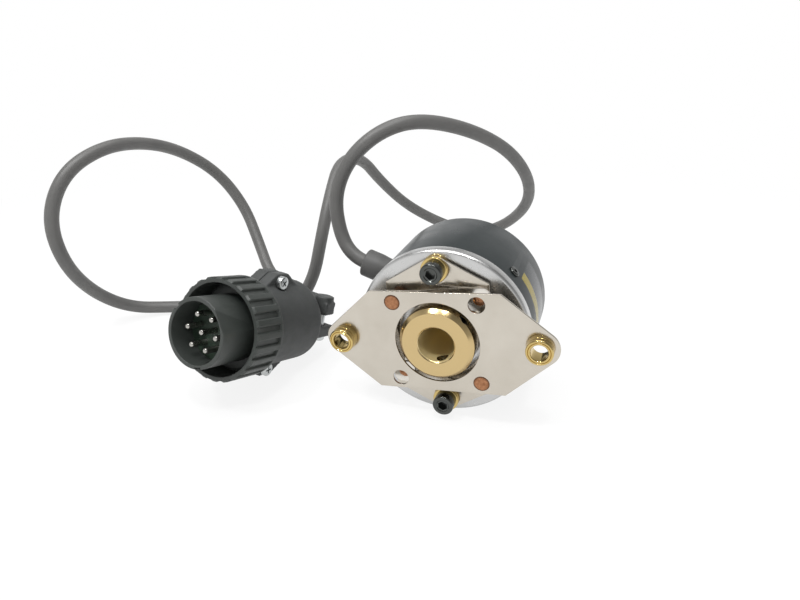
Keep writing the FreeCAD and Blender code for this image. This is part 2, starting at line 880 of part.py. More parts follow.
turned("outer_spacer", ENCODER, ring_profile(
    outer_ring_inside, bearing_outer_radius, -rear_bearing_front, -front_bearing_end
))
turned("inner_spacer", ENCODER, ring_profile(
    bearing_bore_radius + S.fit_gap, inner_ring_top, -rear_bearing_front, -front_bearing_end
))
circlip_outside = seat_radius + S.circlip_groove - S.fit_gap
turned("bearing_circlip", ENCODER, ring_profile(
    circlip_outside - S.circlip_width,
    circlip_outside,
    S.fit_gap - circlip_end,
    -rear_bearing_end,
))


# Code disc, light source, sensor and board

stub_bore = S.stub_radius + S.fit_gap
disc_radius = post_reach - S.post_radius - S.disc_gap
turned("disc_hub", ENCODER, ring_profile(
    stub_bore, S.stub_radius + S.disc_hub_wall, -disc_front, -rear_bearing_end
))
turned("code_disc", ENCODER, ring_profile(stub_bore, disc_radius, -disc_back, -disc_front))
turned("disc_nut", ENCODER, ring_profile(
    stub_bore, S.stub_radius + S.disc_nut_wall, -stub_end, -disc_back
))

half_light = S.light_width / 2
light_in = tube_radius + S.light_gap
light_out = light_in + S.light_thickness
block(
    "light_block", ENCODER, light_in, light_out, -half_light, half_light,
    S.disc_gap - disc_front, -S.web_end,
)
block(
    "light_sensor", ENCODER, light_out - S.sensor_reach, light_out, -half_light, half_light,
    -board_front, -(disc_back + S.disc_gap),
)
board = new_body("sensor_board", ENCODER)
board_radius = cover_inside - S.board_rim_gap
add_rounds(board, [(NOUGHT, NOUGHT)], -board_back, -board_front, board_radius)
screw_clearance = S.board_screw_radius + S.slip_gap
cut_rounds(board, post_places, screw_clearance, -board_front, S.board_thickness)
posts = new_body("board_posts", ENCODER)
add_rounds(posts, post_places, -board_front, -S.spigot_end, S.post_radius)
board_tap = S.board_screw_length + S.tap_spare
board_tap_top = board_tap - board_front
cut_rounds(posts, post_places, S.board_screw_radius + S.fit_gap, board_tap_top, board_tap)
board_screws = new_body("board_screws", ENCODER)
add_rounds(
    board_screws, post_places, -(board_back + S.board_screw_head_height), -board_back,
    S.board_screw_head_radius,
)
add_rounds(
    board_screws, post_places, -board_back, S.board_screw_length - board_front, S.board_screw_radius
)

CONNECTOR = ENCODER.multiply(Placement(Vector(), Rotation(Vector(0, 0, 1), S.boot_angle.value)))
half_connector = S.connector_width / 2
connector_out = boot_flange_in - S.lead_length
block(
    "board_connector", CONNECTOR, connector_out - S.connector_thickness, connector_out,
    -half_connector, half_connector, -board_front, S.connector_rise - S.boot_depth,
)
turned("inner_leads", BOOT, [
    (NOUGHT, connector_out),
    (S.lead_radius, connector_out),
    (S.lead_radius, boot_flange_in),
    (NOUGHT, boot_flange_in),
])


# Stator coupling: two stiff plates and a bent spring plate between them, riveted in pairs


def draw_eared_outline(sketch, half, corner, reach, radius, turn):
    """A plate with two rounded ears; half is its half width across the ears, turn places the ears."""
    along = Vector(math.cos(math.radians(turn)), math.sin(math.radians(turn)), 0)
    across = Vector(-along.y, along.x, 0)

    def spot(u, v):
        return along * u + across * v

    slant = math.hypot(half.value, reach.value - corner.value)
    lean = math.atan2(half.value, corner.value - reach.value)
    open_angle = lean - math.acos(radius.value / slant)
    up = Vector(0, 0, 1)
    start = math.radians(turn) - open_angle
    end = math.radians(turn) + open_angle
    ear_u = reach.value + radius.value * math.cos(open_angle)
    ear_v = radius.value * math.sin(open_angle)
    near = Part.Circle(spot(reach.value, 0), up, radius.value)
    far = Part.Circle(spot(-reach.value, 0), up, radius.value)
    outline = [
        Part.ArcOfCircle(near, start, end),
        Part.LineSegment(spot(ear_u, ear_v), spot(corner.value, half.value)),
        Part.LineSegment(spot(corner.value, half.value), spot(-corner.value, half.value)),
        Part.LineSegment(spot(-corner.value, half.value), spot(-ear_u, ear_v)),
        Part.ArcOfCircle(far, start + math.pi, end + math.pi),
        Part.LineSegment(spot(-ear_u, -ear_v), spot(-corner.value, -half.value)),
        Part.LineSegment(spot(-corner.value, -half.value), spot(corner.value, -half.value)),
        Part.LineSegment(spot(corner.value, -half.value), spot(ear_u, -ear_v)),
    ]
    for piece in outline:
        sketch.addGeometry(piece, False)
    for arc, first_line, last_line in ((0, 1, 7), (4, 5, 3)):
        sketch.addConstraint(Sketcher.Constraint("Tangent", arc, 2, first_line, 1))
        sketch.addConstraint(Sketcher.Constraint("Tangent", last_line, 2, arc, 1))
    for line in (1, 2, 5, 6):
        sketch.addConstraint(Sketcher.Constraint("Coincident", line, 2, line + 1, 1))
    upright_ears = turn != 0
    for line, side_u, side_v in ((1, 1, 1), (2, -1, 1), (5, -1, -1), (6, 1, -1)):
        u = corner if side_u > 0 else -corner
        v = half if side_v > 0 else -half
        if upright_ears:
            pin_point(sketch, line, 2, -v, u)
        else:
            pin_point(sketch, line, 2, u, v)
    for arc, middle in ((0, reach), (4, -reach)):
        bind(sketch, "Radius", arc, size=radius)
        if upright_ears:
            pin_point(sketch, arc, 3, NOUGHT, middle)
        else:
            pin_point(sketch, arc, 3, middle, NOUGHT)


front_plate_back = S.front_plate_face - S.plate_thickness
rear_plate_back = S.rear_plate_face - S.plate_thickness
flex_front_back = front_plate_back - S.flex_thickness
flex_rear_face = S.rear_plate_face + S.flex_thickness
rivet_hole = S.rivet_radius + S.fit_gap

rear_plate = new_body("rear_plate", ENCODER)
rear_outline = new_sketch(rear_plate, "XY_Plane", rear_plate_back)
draw_eared_outline(
    rear_outline, S.rear_half_width, S.rear_corner, cap_reach, S.rear_ear_radius, 90
)
draw_circle(rear_outline, NOUGHT, NOUGHT, window_radius)
for x, y in rear_rivet_places:
    draw_circle(rear_outline, x, y, rivet_hole)
for x, y in cap_places:
    draw_circle(rear_outline, x, y, S.rear_bushing_neck_radius + S.fit_gap)
extrude(rear_plate, rear_outline, S.plate_thickness)

front_plate = new_body("front_plate", ENCODER)
front_outline = new_sketch(front_plate, "XY_Plane", front_plate_back)
draw_eared_outline(
    front_outline, S.front_half_height, S.front_corner, S.front_ear_reach, S.front_ear_radius, 0
)
draw_circle(front_outline, NOUGHT, NOUGHT, window_radius)
for x, y in front_rivet_places:
    draw_circle(front_outline, x, y, rivet_hole)
for x, y in rear_rivet_places:
    draw_circle(front_outline, x, y, S.access_hole_radius)
for x, y in ear_places:
    draw_circle(front_outline, x, y, S.front_bushing_neck_radius + S.fit_gap)
extrude(front_plate, front_outline, S.plate_thickness)


def draw_s_strip(sketch, half_run, left, right, thickness):
    """The edge view of a spring arm: two equal arcs from one level down to another."""
    drop = left - right
    mean = (half_run * half_run + drop * drop / 4) / drop
    sweep = 2 * math.atan2(drop.value / 2, half_run.value)
    up = Vector(0, 0, 1)
    hill = (-half_run, left - mean)
    valley = (half_run, right + mean)
    quarter = math.pi / 2
    arcs = []
    for grow in (thickness / 2, -thickness / 2):
        for middle, size, low in ((hill, mean + grow, quarter - sweep), (valley, mean - grow, None)):
            centre = Vector(middle[0].value, middle[1].value, 0)
            first = low if low is not None else 3 * quarter - sweep
            last = quarter if low is not None else 3 * quarter
            circle = Part.Circle(centre, up, size.value)
            arc = sketch.addGeometry(Part.ArcOfCircle(circle, first, last), False)
            pin_point(sketch, arc, 3, *middle)
            if middle is hill:
                bind(sketch, "Radius", arc, size=size)
            arcs.append(arc)
    top_hill, top_valley, low_hill, low_valley = arcs
    for hill_arc, valley_arc in ((top_hill, top_valley), (low_hill, low_valley)):
        sketch.addConstraint(Sketcher.Constraint("Tangent", hill_arc, 1, valley_arc, 1))
    for first, last, point, x in ((top_hill, low_hill, 2, -half_run), (low_valley, top_valley, 2, half_run)):
        start = sketch.getPoint(first, point)
        end = sketch.getPoint(last, point)
        line = sketch.addGeometry(Part.LineSegment(start, end), False)
        sketch.addConstraint(Sketcher.Constraint("Coincident", line, 1, first, point))
        sketch.addConstraint(Sketcher.Constraint("Coincident", line, 2, last, point))
        sketch.addConstraint(Sketcher.Constraint("Vertical", line))
        bind(sketch, "DistanceX", -1, 1, line, 1, size=x)


flex_plate = new_body("flex_plate", ENCODER)
pad_inside = S.flex_half - S.flex_pad
half_turn_pair = Size(2, "2")
for level, x_low, x_high in (
    (flex_front_back, -S.flex_half, -pad_inside),
    (S.rear_plate_face, pad_inside, S.flex_half),
):
    pad_sketch = new_sketch(flex_plate, "XY_Plane", level)
    draw_polygon(pad_sketch, rectangle(x_low, x_high, pad_inside, S.flex_half))
    pad = extrude(flex_plate, pad_sketch, S.flex_thickness)
    repeat_round(flex_plate, [pad], half_turn_pair, removes=False)
arm_inside = S.flex_half - S.flex_arm
high_level = flex_front_back + S.flex_thickness / 2
low_level = S.rear_plate_face + S.flex_thickness / 2
for role, offset, reverse in (("XZ_Plane", -arm_inside, True), ("YZ_Plane", arm_inside, False)):
    arm_sketch = new_sketch(flex_plate, role, offset)
    draw_s_strip(arm_sketch, pad_inside, high_level, low_level, S.flex_thickness)
    arm = extrude(flex_plate, arm_sketch, S.flex_arm, reverse=reverse)
    repeat_round(flex_plate, [arm], half_turn_pair, removes=False)
flex_corners = [(S.flex_half, S.flex_half), (-S.flex_half, S.flex_half)]
flex_corners += [(-S.flex_half, -S.flex_half), (S.flex_half, -S.flex_half)]
round_corners(flex_plate, S.flex_round, flex_corners)
rivet_depth = S.front_plate_face
cut_rounds(
    flex_plate, front_rivet_places + rear_rivet_places, rivet_hole, S.front_plate_face, rivet_depth
)

front_rivets = new_body("front_rivets", ENCODER)
head_out = S.front_plate_face + S.rivet_head_height
tail_in = flex_front_back - S.rivet_head_height
add_rounds(front_rivets, front_rivet_places, tail_in, flex_front_back, S.rivet_head_radius)
add_rounds(front_rivets, front_rivet_places, flex_front_back, S.front_plate_face, S.rivet_radius)
add_rounds(front_rivets, front_rivet_places, S.front_plate_face, head_out, S.rivet_head_radius)

rear_rivets = new_body("rear_rivets", ENCODER)
head_out = flex_rear_face + S.rivet_head_height
tail_in = rear_plate_back - S.rivet_head_height
add_rounds(rear_rivets, rear_rivet_places, tail_in, rear_plate_back, S.rear_rivet_head_radius)
add_rounds(rear_rivets, rear_rivet_places, rear_plate_back, flex_rear_face, S.rivet_radius)
add_rounds(rear_rivets, rear_rivet_places, flex_rear_face, head_out, S.rear_rivet_head_radius)

front_bushings = new_body("front_bushings", ENCODER)
nose = S.front_plate_face + S.front_bushing_nose
tail = front_plate_back - S.front_bushing_tail
for low, high, radius in (
    (tail, front_plate_back, S.front_bushing_radius),
    (front_plate_back, S.front_plate_face, S.front_bushing_neck_radius),
    (S.front_plate_face, nose, S.front_bushing_radius),
):
    add_rounds(front_bushings, ear_places, low, high, radius, S.front_bushing_hole_radius)
round_rims(front_bushings, S.bushing_round, [(S.front_bushing_radius, nose), (S.front_bushing_radius, tail)])

rear_bushings = new_body("rear_bushings", ENCODER)
groove_radius = S.rear_bushing_radius - S.rear_bushing_groove
layers = [(rear_plate_back, S.rear_plate_face, S.rear_bushing_neck_radius)]
for low, high in ((S.face_height, rear_plate_back), (S.rear_plate_face, cap_seat)):
    step = (high - low) / 3
    layers += [
        (low, low + step, S.rear_bushing_radius),
        (low + step, high - step, groove_radius),
        (high - step, high, S.rear_bushing_radius),
    ]
for low, high, radius in layers:
    add_rounds(rear_bushings, cap_places, low, high, radius, S.cap_shank_radius + S.slip_gap)

cap_screws = new_body("cap_screws", ENCODER)
cap_face = cap_seat + S.cap_height
add_rounds(cap_screws, cap_places, cap_seat - S.cap_shank_length, cap_seat, S.cap_shank_radius)
add_rounds(cap_screws, cap_places, cap_seat, cap_face, S.cap_radius)
cut_sockets(cap_screws, cap_places, S.cap_socket_radius, cap_face, S.cap_socket_depth)
round_rims(cap_screws, S.cap_round, [(S.cap_radius, cap_face)])


# Sizes along and across the plug that several pieces share

barrel_inside = S.barrel_radius - S.barrel_wall
barrel_flange_radius = S.barrel_radius + S.barrel_flange_height
barrel_flange_back = S.barrel_flange_front + S.barrel_flange_thickness
neck_radius = S.barrel_radius + S.barrel_neck_height
ring_bore = barrel_flange_radius + S.ring_room
ring_radius = ring_bore + S.ring_wall_thickness
ring_lip_front = barrel_flange_back + S.running_gap
ring_back = ring_lip_front + S.ring_lip
shell_front = ring_back + S.running_gap
barrel_end = shell_front + S.barrel_tail
shell_end = shell_front + S.shell_length
shell_radius = neck_radius + S.shell_height
shell_inside = shell_radius - S.shell_wall
jaw_end = shell_end + S.jaw_length
jaw_half_width = S.clamp_screw_offset + S.boss_radius
saddle_front = shell_end + S.saddle_start
saddle_back = saddle_front + S.saddle_length
clamp_line = (saddle_front + saddle_back) / 2
pin_places = [(NOUGHT, NOUGHT)]
pin_places += polar_places(int(S.pin_count.value), S.pin_circle_radius, S.pin_angle.value)


# Plug barrel: a moulded sleeve with key grooves outside and a flange that keeps the ring on

barrel = turned("plug_barrel", PLUG, [
    (barrel_inside, NOUGHT),
    (S.barrel_radius, NOUGHT),
    (S.barrel_radius, -S.barrel_flange_front),
    (barrel_flange_radius, -S.barrel_flange_front),
    (barrel_flange_radius, -barrel_flange_back),
    (neck_radius, -barrel_flange_back),
    (neck_radius, -barrel_end),
    (barrel_inside, -barrel_end),
])
key_floor = S.barrel_radius - S.key_depth
for angle, width in (
    (S.key_angle.value, S.key_width),
    (S.key_angle.value + S.small_key_angle.value, S.small_key_width),
    (S.key_angle.value - S.small_key_angle.value, S.small_key_width),
):
    turn = Rotation(Vector(0, 0, 1), angle)
    corner = turn.multVec(Vector(key_floor.value, -width.value / 2, 0))
    corner.z = -S.barrel_flange_front.value
    primitive(
        barrel, "Box", Placement(corner, turn), True,
        Length=ring_bore - key_floor, Width=width, Height=S.barrel_flange_front,
    )

insert = new_body("pin_insert", PLUG)
add_rounds(insert, [(NOUGHT, NOUGHT)], -barrel_end, -S.barrel_depth, barrel_inside - S.fit_gap)
cut_rounds(insert, pin_places, S.pin_radius + S.fit_gap, -S.barrel_depth, barrel_end)

pins = new_body("contact_pins", PLUG)
add_rounds(pins, pin_places, -(barrel_end + S.pin_tail), -S.pin_tip, S.pin_radius)
round_rims(pins, S.pin_round, [(S.pin_radius, -S.pin_tip)])


# Coupling ring: turns on the barrel's neck between its flange and the shells

RING = PLUG.multiply(Placement(Vector(), Rotation(Vector(0, 0, 1), S.rib_angle.value)))
ring = turned("coupling_ring", RING, [
    (ring_bore, -S.ring_front),
    (ring_radius, -S.ring_front),
    (ring_radius, -ring_back),
    (neck_radius + S.running_gap, -ring_back),
    (neck_radius + S.running_gap, -ring_lip_front),
    (ring_bore, -ring_lip_front),
])
rib_pitch = ring_radius * (2 * math.pi) / S.rib_count
half_flute = (rib_pitch - S.rib_width) / 2
flute_sketch = new_sketch(ring, "XY_Plane", -S.ring_front)
flute_floor = ring_radius - S.rib_height
draw_polygon(flute_sketch, rectangle(flute_floor, ring_radius + S.rib_height, -half_flute, half_flute))
flute_length = ring_back - S.ring_front - S.rib_band
flute = extrude(ring, flute_sketch, flute_length, "Pocket")
repeat_round(ring, [flute], S.rib_count, removes=True)


# Plug shells: two moulded halves that clamp the barrel's neck, with lugs and the clamp's jaw

neck_fit = neck_radius + S.fit_gap
entry_radius = S.cable_radius + S.slip_gap
lug_front = shell_front + S.lug_start
lug_back = lug_front + S.lug_length
lug_top = shell_radius + S.lug_height
shell_screw_line = shell_front + S.shell_screw_place
shell_screw_height = shell_radius + S.shell_screw_lift
half_round = 180.0
for label, side in (("right_shell", 1), ("left_shell", -1)):
    shell = new_body(label, SHELLS)
    half_sketch = new_sketch(shell, "YZ_Plane")
    draw_polygon(half_sketch, [
        (neck_fit, -shell_front),
        (shell_radius, -shell_front),
        (shell_radius, -shell_end),
        (entry_radius, -shell_end),
        (entry_radius, S.shell_end_wall - shell_end),
        (shell_inside, S.shell_end_wall - shell_end),
        (shell_inside, -(shell_front + S.shell_front_wall)),
        (neck_fit, -(shell_front + S.shell_front_wall)),
    ])
    revolve(shell, half_sketch, half_round, reverse=side > 0)
    round_rims(shell, S.shell_round, [(shell_radius, -shell_end)])
    for up in (1, -1):
        lug_sketch = new_sketch(shell, "YZ_Plane")
        foot, top = (shell_inside, lug_top) if up > 0 else (-shell_inside, -lug_top)
        draw_polygon(lug_sketch, [
            (foot, -lug_front),
            (top, -(lug_front + S.lug_slope)),
            (top, S.lug_slope - lug_back),
            (foot, -lug_back),
        ])
        extrude(shell, lug_sketch, S.lug_half_width, reverse=side < 0)
        hole_start = Vector(-lug_top.value, up * shell_screw_height.value, -shell_screw_line.value)
        primitive(
            shell, "Cylinder", turned_to((1, 0, 0), hole_start), True,
            Radius=S.shell_screw_radius + S.fit_gap, Height=lug_top * 2,
        )
        if side > 0:
            hole_start.x = S.lug_half_width.value
            primitive(
                shell, "Cylinder", turned_to((1, 0, 0), hole_start), True,
                Radius=S.shell_screw_head_radius + S.slip_gap * 2, Height=shell_radius,
            )
    jaw_sketch = new_sketch(shell, "XY_Plane", -jaw_end)
    jaw_out = jaw_half_width if side > 0 else -jaw_half_width
    draw_polygon(jaw_sketch, rectangle(NOUGHT, jaw_out, -(S.jaw_top + S.jaw_thickness), -S.jaw_top))
    extrude(shell, jaw_sketch, S.jaw_length + S.shell_end_wall / 2)
    trough_start = S.shell_end_wall - shell_end
    cut_rounds(shell, [(NOUGHT, NOUGHT)], entry_radius, trough_start, jaw_end + trough_start)
    ear_hole = Vector(side * S.clamp_screw_offset.value, -shell_radius.value, -clamp_line.value)
    primitive(
        shell, "Cylinder", turned_to((0, 1, 0), ear_hole), True,
        Radius=S.clamp_screw_radius + S.slip_gap, Height=shell_radius,
    )

shell_screws = new_body("shell_screws", SHELLS_SIDEWAYS)
screw_places = [(shell_screw_line, shell_screw_height), (shell_screw_line, -shell_screw_height)]
screw_top = S.lug_half_width + S.shell_screw_head_height
add_rounds(shell_screws, screw_places, -S.lug_half_width, S.lug_half_width, S.shell_screw_radius)
add_rounds(shell_screws, screw_places, S.lug_half_width, screw_top, S.shell_screw_head_radius)


# Cable clamp: a saddle pulled down on the cable by two screws from under the jaw

saddle = new_body("clamp_saddle", SHELLS)
saddle_sketch = new_sketch(saddle, "XY_Plane", -saddle_back)
saddle_bottom = entry_radius + S.saddle_lift
saddle_top = saddle_bottom + S.saddle_height
boss_top = saddle_bottom + S.boss_height
tongue_top = S.tongue_half_width + S.tongue_flare
draw_polygon(saddle_sketch, [
    (-jaw_half_width, saddle_bottom),
    (-tongue_top, saddle_bottom),
    (-S.tongue_half_width, entry_radius),
    (S.tongue_half_width, entry_radius),
    (tongue_top, saddle_bottom),
    (jaw_half_width, saddle_bottom),
    (jaw_half_width, saddle_top),
    (S.saddle_crown_half, saddle_top + S.saddle_crown),
    (-S.saddle_crown_half, saddle_top + S.saddle_crown),
    (-jaw_half_width, saddle_top),
])
extrude(saddle, saddle_sketch, S.saddle_length)
for side in (1, -1):
    boss_foot = Vector(side * S.clamp_screw_offset.value, saddle_bottom.value, -clamp_line.value)
    primitive(
        saddle, "Cylinder", turned_to((0, 1, 0), boss_foot), False,
        Radius=S.boss_radius, Height=S.boss_height,
    )
    primitive(
        saddle, "Cylinder", turned_to((0, 1, 0), boss_foot), True,
        Radius=S.clamp_screw_radius + S.fit_gap, Height=S.boss_height - S.boss_roof,
    )

clamp_screws = new_body("clamp_screws", SHELLS_UPWARDS)
clamp_places = [(S.clamp_screw_offset, clamp_line), (-S.clamp_screw_offset, clamp_line)]
clamp_seat = -(S.jaw_top + S.jaw_thickness)
clamp_tip = boss_top - S.boss_roof - S.clamp_screw_spare
clamp_foot = clamp_seat - S.clamp_screw_head_height
add_rounds(clamp_screws, clamp_places, clamp_foot, clamp_seat, S.clamp_screw_head_radius)
add_rounds(clamp_screws, clamp_places, clamp_seat, clamp_tip, S.clamp_screw_radius)


# Cable: leaves the boot's mouth square and ends inside the plug's rear wall

boot_mouth = BOOT.multVec(Vector(0, 0, boot_end.value))
boot_lead = BOOT.multVec(Vector(0, 0, boot_end.value + S.cable_lead.value))
plug_entry = PLUG.multVec(Vector(0, 0, S.cable_grip.value - shell_end.value))
plug_lead = PLUG.multVec(Vector(0, 0, -(jaw_end.value + S.cable_tail.value)))
route = [boot_mouth, boot_lead, *CABLE_ROUTE, plug_lead, plug_entry]
cable_shape, cable_length, bends = swept_tube(route, S.cable_radius.value)
add_shape("cable", cable_shape)
print(f"cable: {cable_length:.0f} mm long, bend radii {[round(bend) for bend in bends]}")


# Check everything, then write one file for each piece

doc.recompute()
for thing in doc.Objects:
    if "Invalid" in thing.State or "Error" in thing.State:
        raise RuntimeError(f"{thing.Label} failed: {thing.State}")
for piece in pieces:
    if piece.Shape.isNull() or not piece.Shape.isValid():
        raise RuntimeError(f"{piece.Label} has no valid shape")

os.makedirs("parts", exist_ok=True)
for piece in pieces:
    piece.Shape.exportStep(f"parts/{piece.Label}.step")
print(f"{len(pieces)} pieces written")
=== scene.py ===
import math

import bmesh
import bpy
from mathutils import Matrix, Vector


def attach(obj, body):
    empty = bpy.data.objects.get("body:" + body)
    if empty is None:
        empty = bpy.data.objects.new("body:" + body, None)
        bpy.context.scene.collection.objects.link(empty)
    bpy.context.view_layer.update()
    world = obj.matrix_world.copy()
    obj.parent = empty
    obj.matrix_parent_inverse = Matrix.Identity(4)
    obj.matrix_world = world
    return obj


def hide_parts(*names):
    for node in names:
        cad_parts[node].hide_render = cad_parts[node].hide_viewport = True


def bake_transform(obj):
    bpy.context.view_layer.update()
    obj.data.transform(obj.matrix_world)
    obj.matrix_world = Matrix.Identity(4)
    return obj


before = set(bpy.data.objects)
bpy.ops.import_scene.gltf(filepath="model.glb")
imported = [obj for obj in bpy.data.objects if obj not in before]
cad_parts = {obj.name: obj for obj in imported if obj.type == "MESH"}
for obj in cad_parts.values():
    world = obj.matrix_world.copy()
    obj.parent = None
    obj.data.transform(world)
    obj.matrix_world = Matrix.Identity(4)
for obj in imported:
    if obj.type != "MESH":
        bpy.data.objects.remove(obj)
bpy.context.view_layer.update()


# Studio: a white table top that runs out of sight, a white room and three soft lamps.
# The white is only for what the camera, the metals and the glass see, so the pieces are lit plainly
# and the table keeps a faint shadow. The metals see the ceiling and the right-hand wall as darker.

scene = bpy.context.scene
scene.view_settings.view_transform = "Standard"
WHITE = (1, 1, 1, 1)
PAPER_GREY = (0.86, 0.86, 0.86, 1)
AMBIENT = 0.65
CEILING_SHADE = 0.25
WALL_SHADE = 0.5
SHADE_SPAN = (0.1, 0.8)
SHADOW_SPAN = (0.12, 0.40)
SHADOW_WHITENESS = 0.86
MIRROR_WHITENESS = 0.7
TABLE_HEIGHT = -0.0291
TABLE_REACH = 6.0


def place(tree, kind, settings=None, **inputs):
    """Adds a node; inputs take a number, a colour or another node's socket."""
    node = tree.nodes.new(kind)
    for name, value in (settings or {}).items():
        setattr(node, name, value)
    for name, value in inputs.items():
        socket = node.inputs[int(name[1:])] if name[0] == "_" else node.inputs[name.replace("_", " ")]
        if isinstance(value, bpy.types.NodeSocket):
            tree.links.new(value, socket)
        else:
            socket.default_value = value
    return node


def reckon(tree, operation, *values):
    """The result of a Math node on numbers or sockets."""
    inputs = {f"_{index}": value for index, value in enumerate(values)}
    return place(tree, "ShaderNodeMath", {"operation": operation}, **inputs).outputs[0]


def graded(tree, value, span, result=(0.0, 1.0), kind="LINEAR"):
    """Maps the span of a value to a span of results, and holds it at the ends."""
    return place(
        tree, "ShaderNodeMapRange", {"interpolation_type": kind}, Value=value,
        From_Min=span[0], From_Max=span[1], To_Min=result[0], To_Max=result[1],
    ).outputs["Result"]


def length_of(tree, vector):
    return place(tree, "ShaderNodeVectorMath", {"operation": "LENGTH"}, _0=vector).outputs["Value"]


def new_object(name, data):
    """An object in the scene for a mesh, a lamp, a camera or a curve."""
    thing = bpy.data.objects.new(name, data)
    scene.collection.objects.link(thing)
    return thing


def seen_white(tree):
    """Masks of the rays from the camera and of those that metal or glass sends on."""
    rays = place(tree, "ShaderNodeLightPath").outputs
    return rays["Is Camera Ray"], reckon(tree, "MAXIMUM", rays["Is Glossy Ray"], rays["Is Transmission Ray"])


world = bpy.data.worlds.new("white_room")
scene.world = world
world.use_nodes = True
room = world.node_tree
room.nodes.clear()
camera_ray, mirror_ray = seen_white(room)
look = place(room, "ShaderNodeTexCoord").outputs["Generated"]
look_way = place(room, "ShaderNodeSeparateXYZ", Vector=look).outputs
ceiling = graded(room, look_way["Z"], SHADE_SPAN, (1.0, CEILING_SHADE))
right_wall = graded(room, look_way["X"], SHADE_SPAN, (1.0, WALL_SHADE))
shaded = reckon(room, "MULTIPLY", ceiling, right_wall)
ambient = place(room, "ShaderNodeBackground", Color=WHITE, Strength=AMBIENT)
backdrop = place(
    room, "ShaderNodeBackground", Color=WHITE, Strength=reckon(room, "MAXIMUM", camera_ray, shaded)
)
room_mix = place(
    room, "ShaderNodeMixShader", _0=reckon(room, "MAXIMUM", camera_ray, mirror_ray),
    _1=ambient.outputs[0], _2=backdrop.outputs[0],
)
place(room, "ShaderNodeOutputWorld", Surface=room_mix.outputs[0])

table_mesh = bpy.data.meshes.new("table_top")
table_mesh.from_pydata(
    [(x * TABLE_REACH, y * TABLE_REACH, TABLE_HEIGHT) for x, y in ((-1, -1), (1, -1), (1, 1), (-1, 1))],
    [],
    [(0, 1, 2, 3)],
)
table_top = new_object("table_top", table_mesh)
white_paper = bpy.data.materials.new("white_paper")
white_paper.use_nodes = True
paper = white_paper.node_tree
paper.nodes.clear()
camera_ray, mirror_ray = seen_white(paper)
lit = place(paper, "ShaderNodeBsdfDiffuse", Color=PAPER_GREY)
bright = place(paper, "ShaderNodeEmission", Color=WHITE, Strength=1.0)
off_middle = length_of(paper, place(paper, "ShaderNodeTexCoord").outputs["Object"])
whiteness = graded(paper, off_middle, SHADOW_SPAN, (SHADOW_WHITENESS, 1.0))
camera_share = reckon(paper, "MULTIPLY", camera_ray, whiteness)
mirror_share = reckon(paper, "MULTIPLY", mirror_ray, MIRROR_WHITENESS)
paper_mix = place(
    paper, "ShaderNodeMixShader", _0=reckon(paper, "MAXIMUM", camera_share, mirror_share),
    _1=lit.outputs[0], _2=bright.outputs[0],
)
place(paper, "ShaderNodeOutputMaterial", Surface=paper_mix.outputs[0])
table_mesh.materials.append(white_paper)

LAMP_AIM = Vector((-0.03, 0.02, 0.0))
for name, lamp_spot, size, power in (
    ("overhead_box", (-0.10, 0.10, 0.80), 0.8, 4.6),
    ("left_box", (-0.28, -0.30, 0.66), 0.09, 2.0),
    ("right_box", (0.06, -0.28, 0.72), 0.08, 1.7),
):
    lamp = bpy.data.lights.new(name, "AREA")
    lamp.shape = "SQUARE"
    lamp.size = size
    lamp.energy = power
    stand = new_object(name, lamp)
    stand.location = lamp_spot
    aim = LAMP_AIM - Vector(lamp_spot)
    stand.rotation_euler = aim.to_track_quat("-Z", "Y").to_euler()

CAMERA_SPOT = (0.0444, -0.1753, 0.0945)
camera_right = Vector((0.946, 0.3246, 0.0)).normalized()
camera_back = Vector((0.2945, -0.8581, 0.4207)).normalized()
camera_up = camera_back.cross(camera_right)
camera_axes = Matrix((camera_right, camera_up, camera_back)).transposed().to_4x4()
lens = bpy.data.cameras.new("camera")
lens.sensor_width = 36.0
lens.lens = 27.48
lens.clip_start = 0.01
camera = new_object("camera", lens)
camera.matrix_world = Matrix.Translation(CAMERA_SPOT) @ camera_axes
scene.camera = camera


# Front flange: turned from aluminium bar, with a bright flat face, the spigot that the cover slips on
# and the tube for the bearings. Its rings are the marks of the turning tool.

MM = 0.001
ROLL = math.radians(6.55)
HOUSING_RADIUS = 29.0
FLANGE_FACE = 3.0
COVER_SEAT = -1.0
SPIGOT_RADIUS = 27.2
SPIGOT_END = -11.3
O_RING_FLOOR = 26.2
O_RING_FRONT = -9.0
O_RING_BACK = -10.4
SEAL_SEAT = 11.62
BEARING_SEAT = 13.02
BEARING_FRONT = -3.0
CIRCLIP_FLOOR = 13.62
CIRCLIP_FRONT = -19.0
CIRCLIP_BACK = -20.1
TUBE_RADIUS = 16.52
TUBE_END = -21.3
POCKET_RADIUS = 20.42
WEB_BACK = -5.6
CAP_SCREW_REACH = 23.4
COVER_SCREW_ANGLES = (39, 159, 279)
COVER_SCREW_HEIGHT = -7.4

# the encoder's own frame: z points out of the front along the shaft, x to the right-hand ear
encoder_frame = Matrix((
    (math.cos(ROLL), -math.sin(ROLL), 0, 0),
    (0, 0, -1, 0),
    (math.sin(ROLL), math.cos(ROLL), 0, 0),
    (0, 0, 0, 1),
))


def eased(outline, steps=4):
    """Rounds the corners of a closed outline; a corner with a third number is rounded by that radius."""
    points = []
    for index, corner in enumerate(outline):
        spot = Vector(corner[:2])
        if len(corner) < 3:
            points.append(spot)
            continue
        back = (Vector(outline[index - 1][:2]) - spot).normalized()
        ahead = (Vector(outline[(index + 1) % len(outline)][:2]) - spot).normalized()
        half = back.angle(ahead) / 2
        start = spot + back * (corner[2] / math.tan(half))
        end = spot + ahead * (corner[2] / math.tan(half))
        middle = spot + (back + ahead).normalized() * (corner[2] / math.sin(half))
        for step in range(steps + 1):
            ray = (start - middle).lerp(end - middle, step / steps).normalized()
            points.append(middle + ray * corner[2])
    return points


